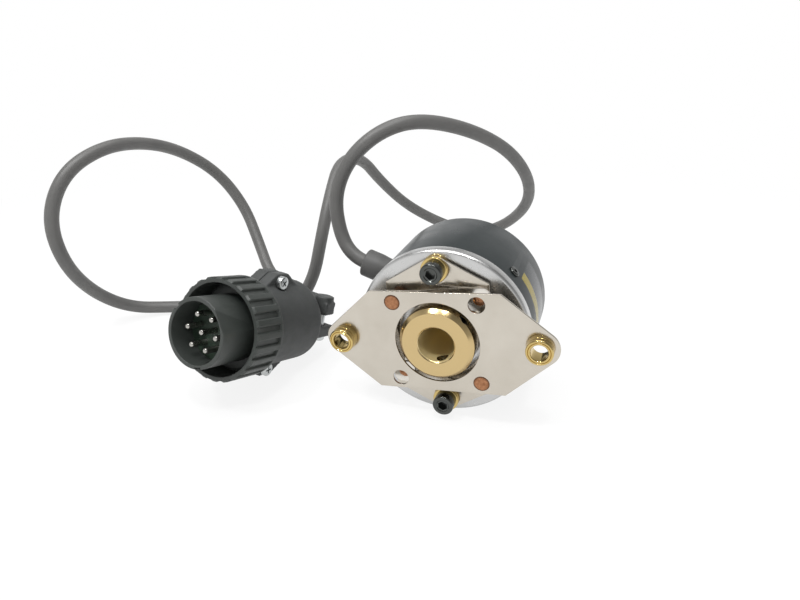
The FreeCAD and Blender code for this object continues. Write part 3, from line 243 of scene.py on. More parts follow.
def spun(outline, steps):
    """A bmesh of an outline of (radius, height) points, in millimetres, spun round the z axis."""
    shape = bmesh.new()
    rings = []
    for radius, height in outline:
        if radius < 1e-6:
            rings.append([shape.verts.new((0, 0, height))] * steps)
            continue
        rings.append([
            shape.verts.new((
                radius * math.cos(2 * math.pi * step / steps),
                radius * math.sin(2 * math.pi * step / steps),
                height,
            ))
            for step in range(steps)
        ])
    for index, ring in enumerate(rings):
        after = rings[(index + 1) % len(rings)]
        for step in range(steps):
            loop = [ring[step], ring[(step + 1) % steps], after[(step + 1) % steps], after[step]]
            corners = list(dict.fromkeys(loop))
            if len(corners) > 2:
                shape.faces.new(corners)
    bmesh.ops.recalc_face_normals(shape, faces=shape.faces)
    return shape


def smoothed(piece, angle=32):
    """Shades a piece smooth, apart from its edges that turn by more than the angle."""
    piece.data.shade_smooth()
    piece.data.set_sharp_from_angle(angle=math.radians(angle))


def made(name, shape, at, material=None):
    """A bmesh in millimetres becomes an object at the origin, with its place in its mesh."""
    shape.transform(at @ Matrix.Scale(MM, 4))
    mesh = bpy.data.meshes.new(name)
    shape.to_mesh(mesh)
    shape.free()
    piece = new_object(name, mesh)
    if material:
        mesh.materials.append(material)
    smoothed(piece)
    return piece


def turned(name, at, outline, material=None, steps=128):
    """A piece turned on a frame's z axis; its outline is (radius, height) or (radius, height, rounding)."""
    return made(name, spun(eased(outline), steps), at, material)


def plain(piece):
    """The evaluated mesh takes the place of the piece's modifiers."""
    evaluated = piece.evaluated_get(bpy.context.evaluated_depsgraph_get())
    mesh = bpy.data.meshes.new_from_object(evaluated)
    mesh.name = piece.name
    piece.modifiers.clear()
    piece.data = mesh


def carved(piece, shapes):
    """Cuts the given bmesh shapes, in metres, out of a piece."""
    drill = bmesh.new()
    for shape in shapes:
        mesh = bpy.data.meshes.new("bit")
        shape.to_mesh(mesh)
        drill.from_mesh(mesh)
        bpy.data.meshes.remove(mesh)
        shape.free()
    cutter = made("drill", drill, Matrix.Scale(1 / MM, 4))
    cut = piece.modifiers.new("holes", "BOOLEAN")
    cut.operation = "DIFFERENCE"
    cut.solver = "EXACT"
    cut.object = cutter
    plain(piece)
    bpy.data.objects.remove(cutter)
    smoothed(piece)


def bores(places, radius, low, high, sides):
    """Cutters for a round or many-sided hole between two heights of each place's frame."""
    bits = []
    for at in places:
        bit = spun([(0, low), (radius, low), (radius, high), (0, high)], sides)
        bit.transform(at @ Matrix.Scale(MM, 4))
        bits.append(bit)
    return bits


def spoke(angle, height):
    """A frame whose z axis points outwards from the shaft at an angle, in the encoder's frame."""
    return (
        encoder_frame
        @ Matrix.Translation((0, 0, height * MM))
        @ Matrix.Rotation(math.radians(angle), 4, "Z")
        @ Matrix.Rotation(math.radians(90), 4, "Y")
    )


def at_spots(base, spots):
    """A frame moved by millimetres to each of the (x, y) spots."""
    return [base @ Matrix.Translation((x * MM, y * MM, 0)) for x, y in spots]


def fitted(piece, body, slot, *nodes):
    """The piece stands for its CAD nodes, which it hides, and moves with their body; the slot is not used."""
    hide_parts(*nodes)
    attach(piece, body)


def new_tree(kind, name, inputs, outputs):
    """A node group with named sockets, and the sockets at its inner ends."""
    tree = bpy.data.node_groups.new(name, kind)
    for socket_name, sort, *value in inputs:
        socket = tree.interface.new_socket(socket_name, in_out="INPUT", socket_type="NodeSocket" + sort)
        if value:
            socket.default_value = value[0]
    for socket_name, sort in outputs:
        tree.interface.new_socket(socket_name, in_out="OUTPUT", socket_type="NodeSocket" + sort)
    given = tree.nodes.new("NodeGroupInput").outputs
    taken = tree.nodes.new("NodeGroupOutput").inputs
    return tree, given, taken


# the rings that a lathe tool leaves: they follow the radius on a face and the height on a cylinder
turning_marks, given, taken = new_tree(
    "ShaderNodeTree", "turning_marks", [("Vector", "Vector"), ("Rings", "Float", 9000.0)], [("Mark", "Float")]
)
split = place(turning_marks, "ShaderNodeSeparateXYZ", Vector=given["Vector"]).outputs
flat = place(turning_marks, "ShaderNodeCombineXYZ", X=split["X"], Y=split["Y"])
along = reckon(turning_marks, "ADD", length_of(turning_marks, flat.outputs[0]), split["Z"])
ripple = place(
    turning_marks, "ShaderNodeTexNoise", {"noise_dimensions": "1D"},
    W=reckon(turning_marks, "MULTIPLY", along, given["Rings"]), Detail=3.0,
)
turning_marks.links.new(ripple.outputs["Fac"], taken["Mark"])

# soft patches of dull handling over a finish
handling, given, taken = new_tree(
    "ShaderNodeTree", "handling",
    [("Vector", "Vector"), ("Patches", "Float", 160.0), ("Least", "Float", 0.2), ("Most", "Float", 0.4)],
    [("Level", "Float")],
)
cloud = place(
    handling, "ShaderNodeTexNoise", Vector=given["Vector"], Scale=given["Patches"], Detail=5.0,
    Roughness=0.6,
)
spread = graded(handling, cloud.outputs["Fac"], (0.3, 0.7), (given["Least"], given["Most"]))
handling.links.new(spread, taken["Level"])


def new_material(name, colour, metallic, roughness):
    """A material with its tree, its shader and the piece's own coordinates."""
    material = bpy.data.materials.new(name)
    material.use_nodes = True
    tree = material.node_tree
    tree.nodes.clear()
    shader = place(
        tree, "ShaderNodeBsdfPrincipled", Base_Color=(*colour, 1), Metallic=metallic, Roughness=roughness
    )
    place(tree, "ShaderNodeOutputMaterial", Surface=shader.outputs[0])
    own = place(tree, "ShaderNodeTexCoord").outputs["Object"]
    return material, tree, shader, own


def feed(tree, shader, **sockets):
    """Links sockets to the shader's inputs of those names."""
    for name, socket in sockets.items():
        tree.links.new(socket, shader.inputs[name.replace("_", " ")])


def grouped(tree, group, **inputs):
    """Places a shader group and gives its one result."""
    return place(tree, "ShaderNodeGroup", {"node_tree": group}, **inputs).outputs[0]


def patchy(tree, own, least, most, patches=160.0):
    """A level that drifts between two values in soft patches."""
    return grouped(tree, handling, Vector=own, Patches=patches, Least=least, Most=most)


def raised(tree, shader, height, depth):
    """A bump on the shader from a height, with its depth in metres."""
    bump = place(tree, "ShaderNodeBump", Height=height, Distance=depth)
    feed(tree, shader, Normal=bump.outputs[0])


def lathe_finish(tree, shader, own, least, most, rings=9000.0, depth=2e-6):
    """Fine rings and a roughness with duller patches, which is also the result."""
    on_shaft = place(tree, "ShaderNodeMapping", Vector=own, Rotation=(math.radians(90), 0, 0))
    raised(tree, shader, grouped(tree, turning_marks, Vector=on_shaft.outputs[0], Rings=rings), depth)
    level = patchy(tree, own, least, most)
    feed(tree, shader, Roughness=level)
    return level


def turned_metal(name, colour, least, most, **marks):
    """Metal off the lathe, with a roughness between the two values."""
    material, tree, shader, own = new_material(name, colour, 1.0, most)
    lathe_finish(tree, shader, own, least, most, **marks)
    return material


flange_aluminium = turned_metal("flange_aluminium", (0.55, 0.55, 0.545), 0.20, 0.34)
front_flange = turned("flange_body", encoder_frame, [
    (SEAL_SEAT, FLANGE_FACE, 0.1), (HOUSING_RADIUS, FLANGE_FACE, 1.0), (HOUSING_RADIUS, COVER_SEAT, 0.15),
    (SPIGOT_RADIUS, COVER_SEAT), (SPIGOT_RADIUS, O_RING_FRONT), (O_RING_FLOOR, O_RING_FRONT),
    (O_RING_FLOOR, O_RING_BACK), (SPIGOT_RADIUS, O_RING_BACK), (SPIGOT_RADIUS, SPIGOT_END, 0.3),
    (POCKET_RADIUS, SPIGOT_END, 0.2), (POCKET_RADIUS, WEB_BACK), (TUBE_RADIUS, WEB_BACK),
    (TUBE_RADIUS, TUBE_END, 0.2), (BEARING_SEAT, TUBE_END), (BEARING_SEAT, CIRCLIP_BACK),
    (CIRCLIP_FLOOR, CIRCLIP_BACK), (CIRCLIP_FLOOR, CIRCLIP_FRONT), (BEARING_SEAT, CIRCLIP_FRONT),
    (BEARING_SEAT, BEARING_FRONT), (SEAL_SEAT, BEARING_FRONT),
], flange_aluminium, steps=160)
cap_spots = [(0, CAP_SCREW_REACH), (0, -CAP_SCREW_REACH)]
cap_places = at_spots(encoder_frame, cap_spots)
cover_screw_places = [spoke(angle, COVER_SCREW_HEIGHT) for angle in COVER_SCREW_ANGLES]
carved(
    front_flange,
    bores(cap_places, radius=2.02, low=-7.5, high=4, sides=32)
    + bores(cover_screw_places, radius=1.02, low=22.2, high=28.7, sides=24),
)
fitted(front_flange, "encoder", "bright_aluminium", "front_flange")


# Bearings: two ball bearings of ground steel with pressed cages, a rubber seal in front of them, spacers
# between them and a circlip behind. They keep the shapes of their solids, as the cover's O-ring does.

ground_steel = turned_metal("ground_steel", (0.62, 0.63, 0.64), 0.08, 0.2, rings=14000.0, depth=1e-6)
spring_steel = turned_metal("spring_steel", (0.50, 0.48, 0.45), 0.22, 0.38)


def fine_noise(tree, vector, scale, detail=2.0):
    return place(tree, "ShaderNodeTexNoise", Vector=vector, Scale=scale, Detail=detail).outputs["Fac"]


def tinted(tree, share, first, second):
    """A colour between two others; each is a triple or another node's socket."""
    ends = [end if isinstance(end, bpy.types.NodeSocket) else (*end, 1) for end in (first, second)]
    return place(tree, "ShaderNodeMix", {"data_type": "RGBA"}, _0=share, _6=ends[0], _7=ends[1]).outputs[2]


def moulded(name, colour, lighter, roughness, grain=2600.0, depth=8e-6):
    """Plastic or rubber: a fine-grained skin with a slightly uneven colour."""
    material, tree, shader, own = new_material(name, colour, 0.0, roughness)
    drift = patchy(tree, own, 0.0, 1.0, 90.0)
    gloss = patchy(tree, own, roughness - 0.06, roughness + 0.08, 240.0)
    feed(tree, shader, Base_Color=tinted(tree, drift, colour, lighter), Roughness=gloss)
    raised(tree, shader, fine_noise(tree, own, grain), depth)
    return material


def coated(material, *nodes):
    """CAD solids that keep their shapes get this material."""
    for node in nodes:
        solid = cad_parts[node].data
        solid.materials.clear()
        solid.materials.append(material)


seal_rubber = moulded("seal_rubber", (0.020, 0.021, 0.021), (0.030, 0.030, 0.030), 0.62)
for end in ("front", "rear"):
    coated(ground_steel, *[f"{end}_bearing_{part}" for part in ("outer_ring", "inner_ring", "balls")])
    coated(spring_steel, f"{end}_bearing_cage")
coated(spring_steel, "outer_spacer", "inner_spacer", "bearing_circlip")
coated(seal_rubber, "shaft_seal", "cover_o_ring")


# Shaft: turned brass with a blind bore, a bevelled clamping hub, two bearing journals and a stub for the
# code disc. Two tapped holes through the hub take the grub screws. The bore is a little dull with oil, and
# its brass is painted lighter there as painted light.

BORE_RADIUS = 6.0
BORE_FLOOR = -12.0
HUB_RADIUS = 12.4
HUB_FACE = 11.5
HUB_BEVEL = 1.3
HUB_BACK = 4.2
SHOULDER_RADIUS = 9.6
JOURNAL_RADIUS = 8.5
JOURNAL_END = -18.6
STUB_RADIUS = 5.0
STUB_END = -27.6
GRUB_ANGLES = (41, -79)
GRUB_HEIGHT = 8.4
HUB_BRASS = (0.57, 0.43, 0.215)
# the bore's brass is lighter than the hub's: painted light, for the lamps' light inside the deep bore
BORE_BRASS_PAINTED_LIGHTER = (0.66, 0.54, 0.28)
BORE_EDGE = (0.00602, 0.0063)
BORE_ROUGHNESS = 0.32
BORE_METALLIC = 0.45


def off_shaft(tree, vector):
    """The distance from the y axis, which the shaft follows."""
    across = place(tree, "ShaderNodeVectorMath", {"operation": "MULTIPLY"}, _0=vector, _1=(1, 0, 1))
    return length_of(tree, across.outputs[0])


def between(tree, share, first, second):
    """A number between two others; each is a number or another node's socket."""
    return place(tree, "ShaderNodeMix", {"data_type": "FLOAT"}, _0=share, _2=first, _3=second).outputs[0]


shaft_brass, tree, shader, own = new_material("shaft_brass", HUB_BRASS, 1.0, 0.26)
hub_level = lathe_finish(tree, shader, own, 0.14, 0.26, rings=7000.0)
# inside the bore the colour is painted lighter, which is painted light; the higher roughness and lower
# metallic there stand for a film of oil
outside = graded(tree, off_shaft(tree, own), BORE_EDGE)
feed(
    tree, shader,
    Base_Color=tinted(tree, outside, BORE_BRASS_PAINTED_LIGHTER, HUB_BRASS),
    Roughness=between(tree, outside, BORE_ROUGHNESS, hub_level),
    Metallic=graded(tree, outside, (0.0, 1.0), (BORE_METALLIC, 1.0)),
)
hollow_shaft = turned("shaft_body", encoder_frame, [
    (BORE_RADIUS + 0.5, HUB_FACE, 0.06), (HUB_RADIUS - HUB_BEVEL, HUB_FACE, 0.15),
    (HUB_RADIUS, HUB_FACE - HUB_BEVEL, 0.15), (HUB_RADIUS, HUB_BACK, 0.2), (SHOULDER_RADIUS, HUB_BACK),
    (SHOULDER_RADIUS, BEARING_FRONT), (JOURNAL_RADIUS, BEARING_FRONT), (JOURNAL_RADIUS, JOURNAL_END),
    (STUB_RADIUS, JOURNAL_END), (STUB_RADIUS, STUB_END, 0.2), (0, STUB_END), (0, BORE_FLOOR),
    (BORE_RADIUS, BORE_FLOOR), (BORE_RADIUS, HUB_FACE - 0.5, 0.06),
], shaft_brass, steps=160)
grub_places = [spoke(angle, GRUB_HEIGHT) for angle in GRUB_ANGLES]
carved(hollow_shaft, bores(grub_places, radius=2.02, low=3, high=15.4, sides=32))
fitted(hollow_shaft, "rotor", "brass", "hollow_shaft")


# Grub screws: black-oxide steel with a hexagon socket, sunk just below the hub's surface.
# They clamp the machine's shaft in the bore.

GRUB_RADIUS = 2.0
GRUB_LENGTH = 4.8
GRUB_INNER_END = 7.2
black_oxide = turned_metal("black_oxide", (0.082, 0.086, 0.082), 0.16, 0.28, rings=5000.0)

# a fastener is set out on each point of a mesh, by the point's own aim and a turn of its own
set_out_tree, given, taken = new_tree(
    "GeometryNodeTree", "set_out",
    [("Places", "Geometry"), ("Fastener", "Object"), ("Turn Spread", "Float"), ("Seed", "Int"),
     ("Finish", "Material")],
    [("Set", "Geometry")],
)
pattern = place(set_out_tree, "GeometryNodeObjectInfo", Object=given["Fastener"])
point_aim = place(set_out_tree, "GeometryNodeInputNamedAttribute", {"data_type": "FLOAT_VECTOR"}, Name="aim")
to_aim = place(set_out_tree, "FunctionNodeEulerToRotation", Euler=point_aim.outputs["Attribute"])
turn = place(
    set_out_tree, "FunctionNodeRandomValue", {"data_type": "FLOAT"}, _2=0.0, _3=given["Turn Spread"],
    Seed=given["Seed"],
)
turn_about = place(set_out_tree, "ShaderNodeCombineXYZ", Z=turn.outputs[1])
own_turn = place(set_out_tree, "FunctionNodeEulerToRotation", Euler=turn_about.outputs[0])
faced = place(
    set_out_tree, "FunctionNodeRotateRotation", {"rotation_space": "LOCAL"},
    Rotation=to_aim.outputs[0], Rotate_By=own_turn.outputs[0],
)
copies = place(
    set_out_tree, "GeometryNodeInstanceOnPoints", Points=given["Places"],
    Instance=pattern.outputs["Geometry"], Rotation=faced.outputs[0],
)
solid_copies = place(set_out_tree, "GeometryNodeRealizeInstances", Geometry=copies.outputs[0])
finished = place(
    set_out_tree, "GeometryNodeSetMaterial", Geometry=solid_copies.outputs[0], Material=given["Finish"]
)
set_out_tree.links.new(finished.outputs[0], taken["Set"])


def worked(piece, tree, **values):
    """Runs a geometry tree on a piece, with values for its inputs, and keeps the result as a plain mesh."""
    step = piece.modifiers.new(tree.name, "NODES")
    step.node_group = tree
    for name, value in values.items():
        step[tree.interface.items_tree[name.replace("_", " ")].identifier] = value
    plain(piece)


def set_out(name, fastener, places, material, spread=0.0, seed=1):
    """One mesh of a fastener at each place; the single fastener is then thrown away."""
    mesh = bpy.data.meshes.new(name)
    mesh.from_pydata([at.to_translation() for at in places], [], [])
    aims = mesh.attributes.new("aim", "FLOAT_VECTOR", "POINT")
    for index, at in enumerate(places):
        aims.data[index].vector = at.to_euler()
    piece = new_object(name, mesh)
    worked(piece, set_out_tree, Fastener=fastener, Turn_Spread=spread, Seed=seed, Finish=material)
    bpy.data.objects.remove(fastener)
    if "aim" in piece.data.attributes:
        piece.data.attributes.remove(piece.data.attributes["aim"])
    smoothed(piece)
    return piece


here = Matrix.Identity(4)
grub = turned("grub", here, [
    (0, 0), (GRUB_RADIUS, 0, 0.3), (GRUB_RADIUS, GRUB_LENGTH, 0.3), (0, GRUB_LENGTH),
], steps=32)
carved(grub, bores([here], radius=1.15, low=3, high=5.2, sides=6))
to_inner_end = Matrix.Translation((0, 0, GRUB_INNER_END * MM))
sunk_places = [at @ to_inner_end for at in grub_places]
set_screws = set_out("grub_screws", grub, sunk_places, black_oxide, spread=1.0, seed=3)
fitted(set_screws, "rotor", "black_oxide", "set_screws")


# Code disc: a glass disc on an aluminium hub, clamped on the shaft's stub by a zinc-plated nut.
# The light block and the sensor stand on either side of its edge.

zinc_plate = turned_metal("zinc_plate", (0.58, 0.60, 0.60), 0.22, 0.38)
chip_black = moulded("chip_black", (0.014, 0.014, 0.015), (0.02, 0.02, 0.02), 0.5)
disc_glass, tree, shader, own = new_material("disc_glass", (0.78, 0.84, 0.85), 0.0, 0.04)
shader.inputs["Transmission Weight"].default_value = 1.0
shader.inputs["IOR"].default_value = 1.5
feed(tree, shader, Roughness=patchy(tree, own, 0.02, 0.09, 220.0))
coated(disc_glass, "code_disc")
coated(flange_aluminium, "disc_hub", "light_block")
coated(zinc_plate, "disc_nut")
coated(chip_black, "light_sensor")


# Electronics: a green glass-fibre board, screwed to three zinc-plated posts.
# A white nylon connector on it takes the leads that come in through the cable boot.

board_green = moulded("board_green", (0.012, 0.085, 0.032), (0.020, 0.11, 0.045), 0.38, grain=900.0)
nylon_white = moulded("nylon_white", (0.70, 0.69, 0.64), (0.76, 0.75, 0.70), 0.42)
lead_grey = moulded("lead_grey", (0.10, 0.10, 0.098), (0.12, 0.12, 0.115), 0.5)
coated(board_green, "sensor_board")
coated(zinc_plate, "board_posts", "board_screws")
coated(nylon_white, "board_connector")
coated(lead_grey, "inner_leads")


# Cover: a drawn cup, painted dark grey with a satin sheen, that slips over the flange's spigot.
# Its side has three screw holes, the hole for the cable boot and a plain striped foil.

COVER_RADIUS = 28.8
COVER_BORE = 27.3
COVER_END = -34.5
COVER_FLOOR = -32.9
BOOT_ANGLE = 156.7
BOOT_HEIGHT = -22.7
FOIL_BEARING = math.radians(8.5)
FOIL_HALF_ARC = math.radians(30)
FOIL_MIDDLE, FOIL_HALF_WIDTH = 0.0174, 0.0080
STRIPE_MIDDLE, STRIPE_HALF_WIDTH = 0.0120, 0.0026
FOIL_GREY = (0.032, 0.036, 0.039)
STRIPE_YELLOW = (0.25, 0.20, 0.035)

cover_paint, tree, shader, own = new_material("cover_paint", (0.020, 0.025, 0.026), 0.0, 0.34)
shader.inputs["Specular IOR Level"].default_value = 0.2
paint_tint = tinted(tree, patchy(tree, own, 0.0, 1.0, 45.0), (0.018, 0.023, 0.024), (0.023, 0.028, 0.029))
on_cover = place(tree, "ShaderNodeSeparateXYZ", Vector=own).outputs
bearing = reckon(tree, "ARCTAN2", on_cover["Z"], on_cover["X"])
on_arc = reckon(tree, "COMPARE", bearing, FOIL_BEARING, FOIL_HALF_ARC)
foil, stripe = [
    reckon(tree, "MULTIPLY", reckon(tree, "COMPARE", on_cover["Y"], middle, half_width), on_arc)
    for middle, half_width in ((FOIL_MIDDLE, FOIL_HALF_WIDTH), (STRIPE_MIDDLE, STRIPE_HALF_WIDTH))
]
foil_tint = tinted(tree, foil, paint_tint, FOIL_GREY)
feed(
    tree, shader,
    Base_Color=tinted(tree, stripe, foil_tint, STRIPE_YELLOW),
    Roughness=between(tree, foil, patchy(tree, own, 0.26, 0.36, 130.0), 0.22),
)
raised(tree, shader, fine_noise(tree, own, 1500.0), 6e-6)
housing_cover = turned("cover_cup", encoder_frame, [
    (COVER_BORE, COVER_SEAT), (COVER_RADIUS, COVER_SEAT, 0.25), (COVER_RADIUS, COVER_END, 2.0),
    (0, COVER_END), (0, COVER_FLOOR), (COVER_BORE, COVER_FLOOR, 0.8),
], cover_paint, steps=160)
boot_place = spoke(BOOT_ANGLE, BOOT_HEIGHT)
carved(
    housing_cover,
    bores(cover_screw_places, radius=1.1, low=24, high=32, sides=24)
    + bores([boot_place], radius=5.0, low=24, high=32, sides=48),
)
fitted(housing_cover, "encoder", "dark_cover", "housing_cover")


# Cover screws: three small black-oxide screws with a hexagon socket.
# They go through the cover's wall into the flange's spigot, and their heights count from the shaft's axis.

COVER_SCREW_TIP = 22.9
COVER_HEAD_TOP = 29.6
cover_screw = turned("cover_screw", here, [
    (0, COVER_SCREW_TIP), (1, COVER_SCREW_TIP, 0.2), (1, COVER_RADIUS), (1.9, COVER_RADIUS, 0.1),
    (1.9, COVER_HEAD_TOP, 0.45), (0, COVER_HEAD_TOP),
], steps=32)
carved(cover_screw, bores([here], radius=0.75, low=29.1, high=30, sides=6))
cover_screws = set_out("cover_screw_set", cover_screw, cover_screw_places, black_oxide, spread=1.0, seed=5)
fitted(cover_screws, "encoder", "black_oxide", "cover_screws")


# Cable boot: moulded rubber, held by its inner flange behind the cover's wall.
# Its thicker outer end grips the cable's sheath.

BOOT_FOOT = 25.4
BOOT_FLANGE_TOP = 26.6
BOOT_END = 38.85
boot_rubber = moulded("boot_rubber", (0.070, 0.070, 0.068), (0.085, 0.084, 0.082), 0.55, grain=1800.0)
cable_boot = turned("boot_body", boot_place, [
    (0, BOOT_FOOT), (5.4, BOOT_FOOT, 0.3), (5.4, BOOT_FLANGE_TOP, 0.2), (4.9, BOOT_FLANGE_TOP),
    (4.9, 30.4, 8.0), (5.2, 33.4, 8.0), (5.2, BOOT_END, 0.7), (0, BOOT_END),
], boot_rubber, steps=64)
fitted(cable_boot, "encoder", "black_rubber", "cable_boot")


# Rear plate: punched from nickel-plated sheet, with two ears that the cap screws hold to the flange.
# A round window leaves room for the hub.

REAR_PLATE_BACK = 4.2
REAR_PLATE_FACE = 5.0
WINDOW_RADIUS = 14.0
RIVET_OFFSET = 13.7
RIVET_HOLE = 1.62
REAR_EAR_HOLE = 2.92
front_rivet_spots = [(-RIVET_OFFSET, RIVET_OFFSET), (RIVET_OFFSET, -RIVET_OFFSET)]
rear_rivet_spots = [(RIVET_OFFSET, RIVET_OFFSET), (-RIVET_OFFSET, -RIVET_OFFSET)]


def round_hole(spot, radius, steps=48):
    angles = [2 * math.pi * step / steps for step in range(steps)]
    return [Vector((spot[0] + radius * math.cos(a), spot[1] + radius * math.sin(a))) for a in angles]


def eared(half, corner, reach, radius, turn, steps=16, corner_round=0.5):
    """The outline of a plate with two round ears and four blunt corners."""
    slant = math.hypot(half, reach - corner)
    opening = math.atan2(half, corner - reach) - math.acos(radius / slant)
    outline = []
    for side in (0, math.pi):
        flip = math.cos(side)
        for step in range(steps + 1):
            angle = side + opening * (2 * step / steps - 1)
            outline.append((flip * reach + radius * math.cos(angle), radius * math.sin(angle)))
        outline += [(flip * corner, flip * half, corner_round), (-flip * corner, flip * half, corner_round)]
    spin = Matrix.Rotation(math.radians(turn), 2)
    return [spin @ point for point in eased(outline)]


def sheet_metal(name, outlines, low, high, material, edge=0.12, steps=3):
    """A flat plate between two heights; the first outline is its rim, the others are holes."""
    shape = bmesh.new()
    caps = {low: [], high: []}
    for index, outline in enumerate(outlines):
        area = sum(a.cross(b) for a, b in zip(outline, outline[1:] + outline[:1]))
        if (area > 0) != (index == 0):
            outline = outline[::-1]
        inward = []
        for spot, before, after in zip(outline, outline[-1:] + outline[:-1], outline[1:] + outline[:1]):
            along = (spot - before).normalized() + (after - spot).normalized()
            inward.append(Vector((-along.y, along.x)).normalized())
        angles = [math.pi / 2 * step / steps for step in range(steps + 1)]
        levels = [(edge * (1 - math.sin(a)), high - edge * (1 - math.cos(a))) for a in angles]
        levels += [(inset, low + high - height) for inset, height in reversed(levels)]
        rings = [
            [shape.verts.new((*(spot + way * inset), height)) for spot, way in zip(outline, inward)]
            for inset, height in levels
        ]
        count = len(outline)
        for upper, lower in zip(rings, rings[1:]):
            for k in range(count):
                shape.faces.new((upper[k], lower[k], lower[(k + 1) % count], upper[(k + 1) % count]))
        for ring, level in ((rings[0], high), (rings[-1], low)):
            caps[level] += [shape.edges.get((ring[k], ring[(k + 1) % count])) for k in range(count)]
    for rims in caps.values():
        bmesh.ops.triangle_fill(shape, use_beauty=True, edges=rims)
    bmesh.ops.recalc_face_normals(shape, faces=shape.faces)
    return made(name, shape, encoder_frame, material)


plate_nickel, tree, shader, own = new_material("plate_nickel", (0.55, 0.51, 0.445), 1.0, 0.2)
stain = patchy(tree, own, 0.0, 1.0, 70.0)
feed(
    tree, shader,
    Base_Color=tinted(tree, stain, (0.52, 0.48, 0.415), (0.58, 0.54, 0.475)),
    Roughness=patchy(tree, own, 0.15, 0.27, 120.0),
)
rolled = place(tree, "ShaderNodeMapping", Vector=own, Rotation=(0, -ROLL, 0), Scale=(60, 900, 2600))
raised(tree, shader, fine_noise(tree, rolled.outputs[0], 1.0, 4.0), 1.2e-6)
rear_plate = sheet_metal(
    "rear_coupling_plate",
    [eared(half=17.0, corner=18.8, reach=CAP_SCREW_REACH, radius=4.2, turn=90)]
    + [round_hole((0, 0), WINDOW_RADIUS, steps=96)]
    + [round_hole(spot, RIVET_HOLE) for spot in rear_rivet_spots]
    + [round_hole(spot, REAR_EAR_HOLE) for spot in cap_spots],
    REAR_PLATE_BACK, REAR_PLATE_FACE, plate_nickel,
)
fitted(rear_plate, "encoder", "plated_plate", "rear_plate")


# Rear bushings: turned brass with a groove on each side of the plate, rolled into the rear plate's ears.
# The cap screws pass through them and press them on the flange.

BUSHING_RADIUS = 4.3
BUSHING_GROOVE = 3.9
BUSHING_NECK = 2.9
BUSHING_HOLE = 2.1
BUSHING_TOP = 6.2
bushing_brass = turned_metal("bushing_brass", (0.56, 0.42, 0.17), 0.08, 0.18, rings=6000.0)
rear_bushing = turned("rear_bushing", here, [
    (BUSHING_HOLE, FLANGE_FACE), (BUSHING_RADIUS, FLANGE_FACE, 0.1), (BUSHING_RADIUS, 3.4, 0.12),
    (BUSHING_GROOVE, 3.4), (BUSHING_GROOVE, 3.8), (BUSHING_RADIUS, 3.8, 0.12),
    (BUSHING_RADIUS, REAR_PLATE_BACK), (BUSHING_NECK, REAR_PLATE_BACK), (BUSHING_NECK, REAR_PLATE_FACE),
    (BUSHING_RADIUS, REAR_PLATE_FACE), (BUSHING_RADIUS, 5.4, 0.12), (BUSHING_GROOVE, 5.4),
    (BUSHING_GROOVE, 5.8), (BUSHING_RADIUS, 5.8, 0.12), (BUSHING_RADIUS, BUSHING_TOP, 0.2),
    (BUSHING_HOLE, BUSHING_TOP, 0.1),
], steps=64)
rear_bushings = set_out("rear_bushing_pair", rear_bushing, cap_places, bushing_brass)
fitted(rear_bushings, "encoder", "brass", "rear_bushings")


# Flex plate: a thin square frame of spring steel, bent so that two corners lie on the rear plate and the
# other two behind the front plate. Its four S-bent arms give way when the machine's shaft wobbles.

FLEX_THICKNESS = 0.5


def dressed(node, name, material):
    """A merged copy of a CAD node's mesh with its flat faces whole."""
    shape = bmesh.new()
    shape.from_mesh(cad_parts[node].data)
    bmesh.ops.remove_doubles(shape, verts=shape.verts, dist=2e-6)
    bmesh.ops.dissolve_limit(shape, angle_limit=math.radians(1.0), verts=shape.verts, edges=shape.edges)
    return made(name, shape, Matrix.Scale(1 / MM, 4), material)


flex_steel = turned_metal("flex_steel", (0.70, 0.67, 0.62), 0.2, 0.34, rings=5000.0)
flex_plate = dressed("flex_plate", "flex_frame", flex_steel)
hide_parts("flex_plate")
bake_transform(flex_plate)


# Rivets: soft copper, set low and round on both sides. One pair joins the flex plate to the rear plate, the
# other to the front plate, where holes let the rear pair be reached.

FRONT_PLATE_BACK = 9.0
FRONT_PLATE_FACE = 9.8
RIVET_RADIUS = 1.6
RIVET_DOME = 0.35
REAR_HEAD_RADIUS = 2.0
FRONT_HEAD_RADIUS = 2.65
# a darker copper ring at the rim of each rivet head is painted shade, for the shadow gap between head and
# plate
RIM_SHADE_SPAN = (0.0019, 0.0026)
RIM_SHADE_COPPER = (0.12, 0.060, 0.035)

rivet_copper, tree, shader, own = new_material("rivet_copper", (0.37, 0.17, 0.082), 1.0, 0.3)
upright = place(tree, "ShaderNodeMapping", Vector=own, Rotation=(0, ROLL, 0))
quarter = place(tree, "ShaderNodeVectorMath", {"operation": "ABSOLUTE"}, _0=upright.outputs[0])
off_rivet = place(
    tree, "ShaderNodeVectorMath", {"operation": "SUBTRACT"}, _0=quarter.outputs[0],
    _1=(RIVET_OFFSET * MM, 0, RIVET_OFFSET * MM),
)
# painted shade: the copper darkens towards the rim of each rivet head
painted_rim_shade = graded(tree, off_shaft(tree, off_rivet.outputs[0]), RIM_SHADE_SPAN, kind="SMOOTHSTEP")
copper_patches = tinted(tree, patchy(tree, own, 0.0, 1.0, 800.0), (0.25, 0.11, 0.055), (0.47, 0.23, 0.12))
hammered = patchy(tree, own, 0.18, 0.42, 900.0)
feed(tree, shader, Base_Color=tinted(tree, painted_rim_shade, copper_patches, RIM_SHADE_COPPER), Roughness=hammered)
raised(tree, shader, hammered, 4e-4)


def rivet_pair(name, head_radius, low, high, spots):
    """Two rivets with a domed head at each end of the shank."""
    shares = (0.0, 0.3, 0.55, 0.75, 0.9, 1.0)
    dome = [(head_radius * share, RIVET_DOME * math.sqrt(1 - share ** 2)) for share in shares]
    rivet = turned(
        name, here,
        [(reach, low - height) for reach, height in dome]
        + [(RIVET_RADIUS, low), (RIVET_RADIUS, high)]
        + [(reach, high + height) for reach, height in reversed(dome)],
        steps=40,
    )
    return set_out(name + "_pair", rivet, at_spots(encoder_frame, spots), rivet_copper)


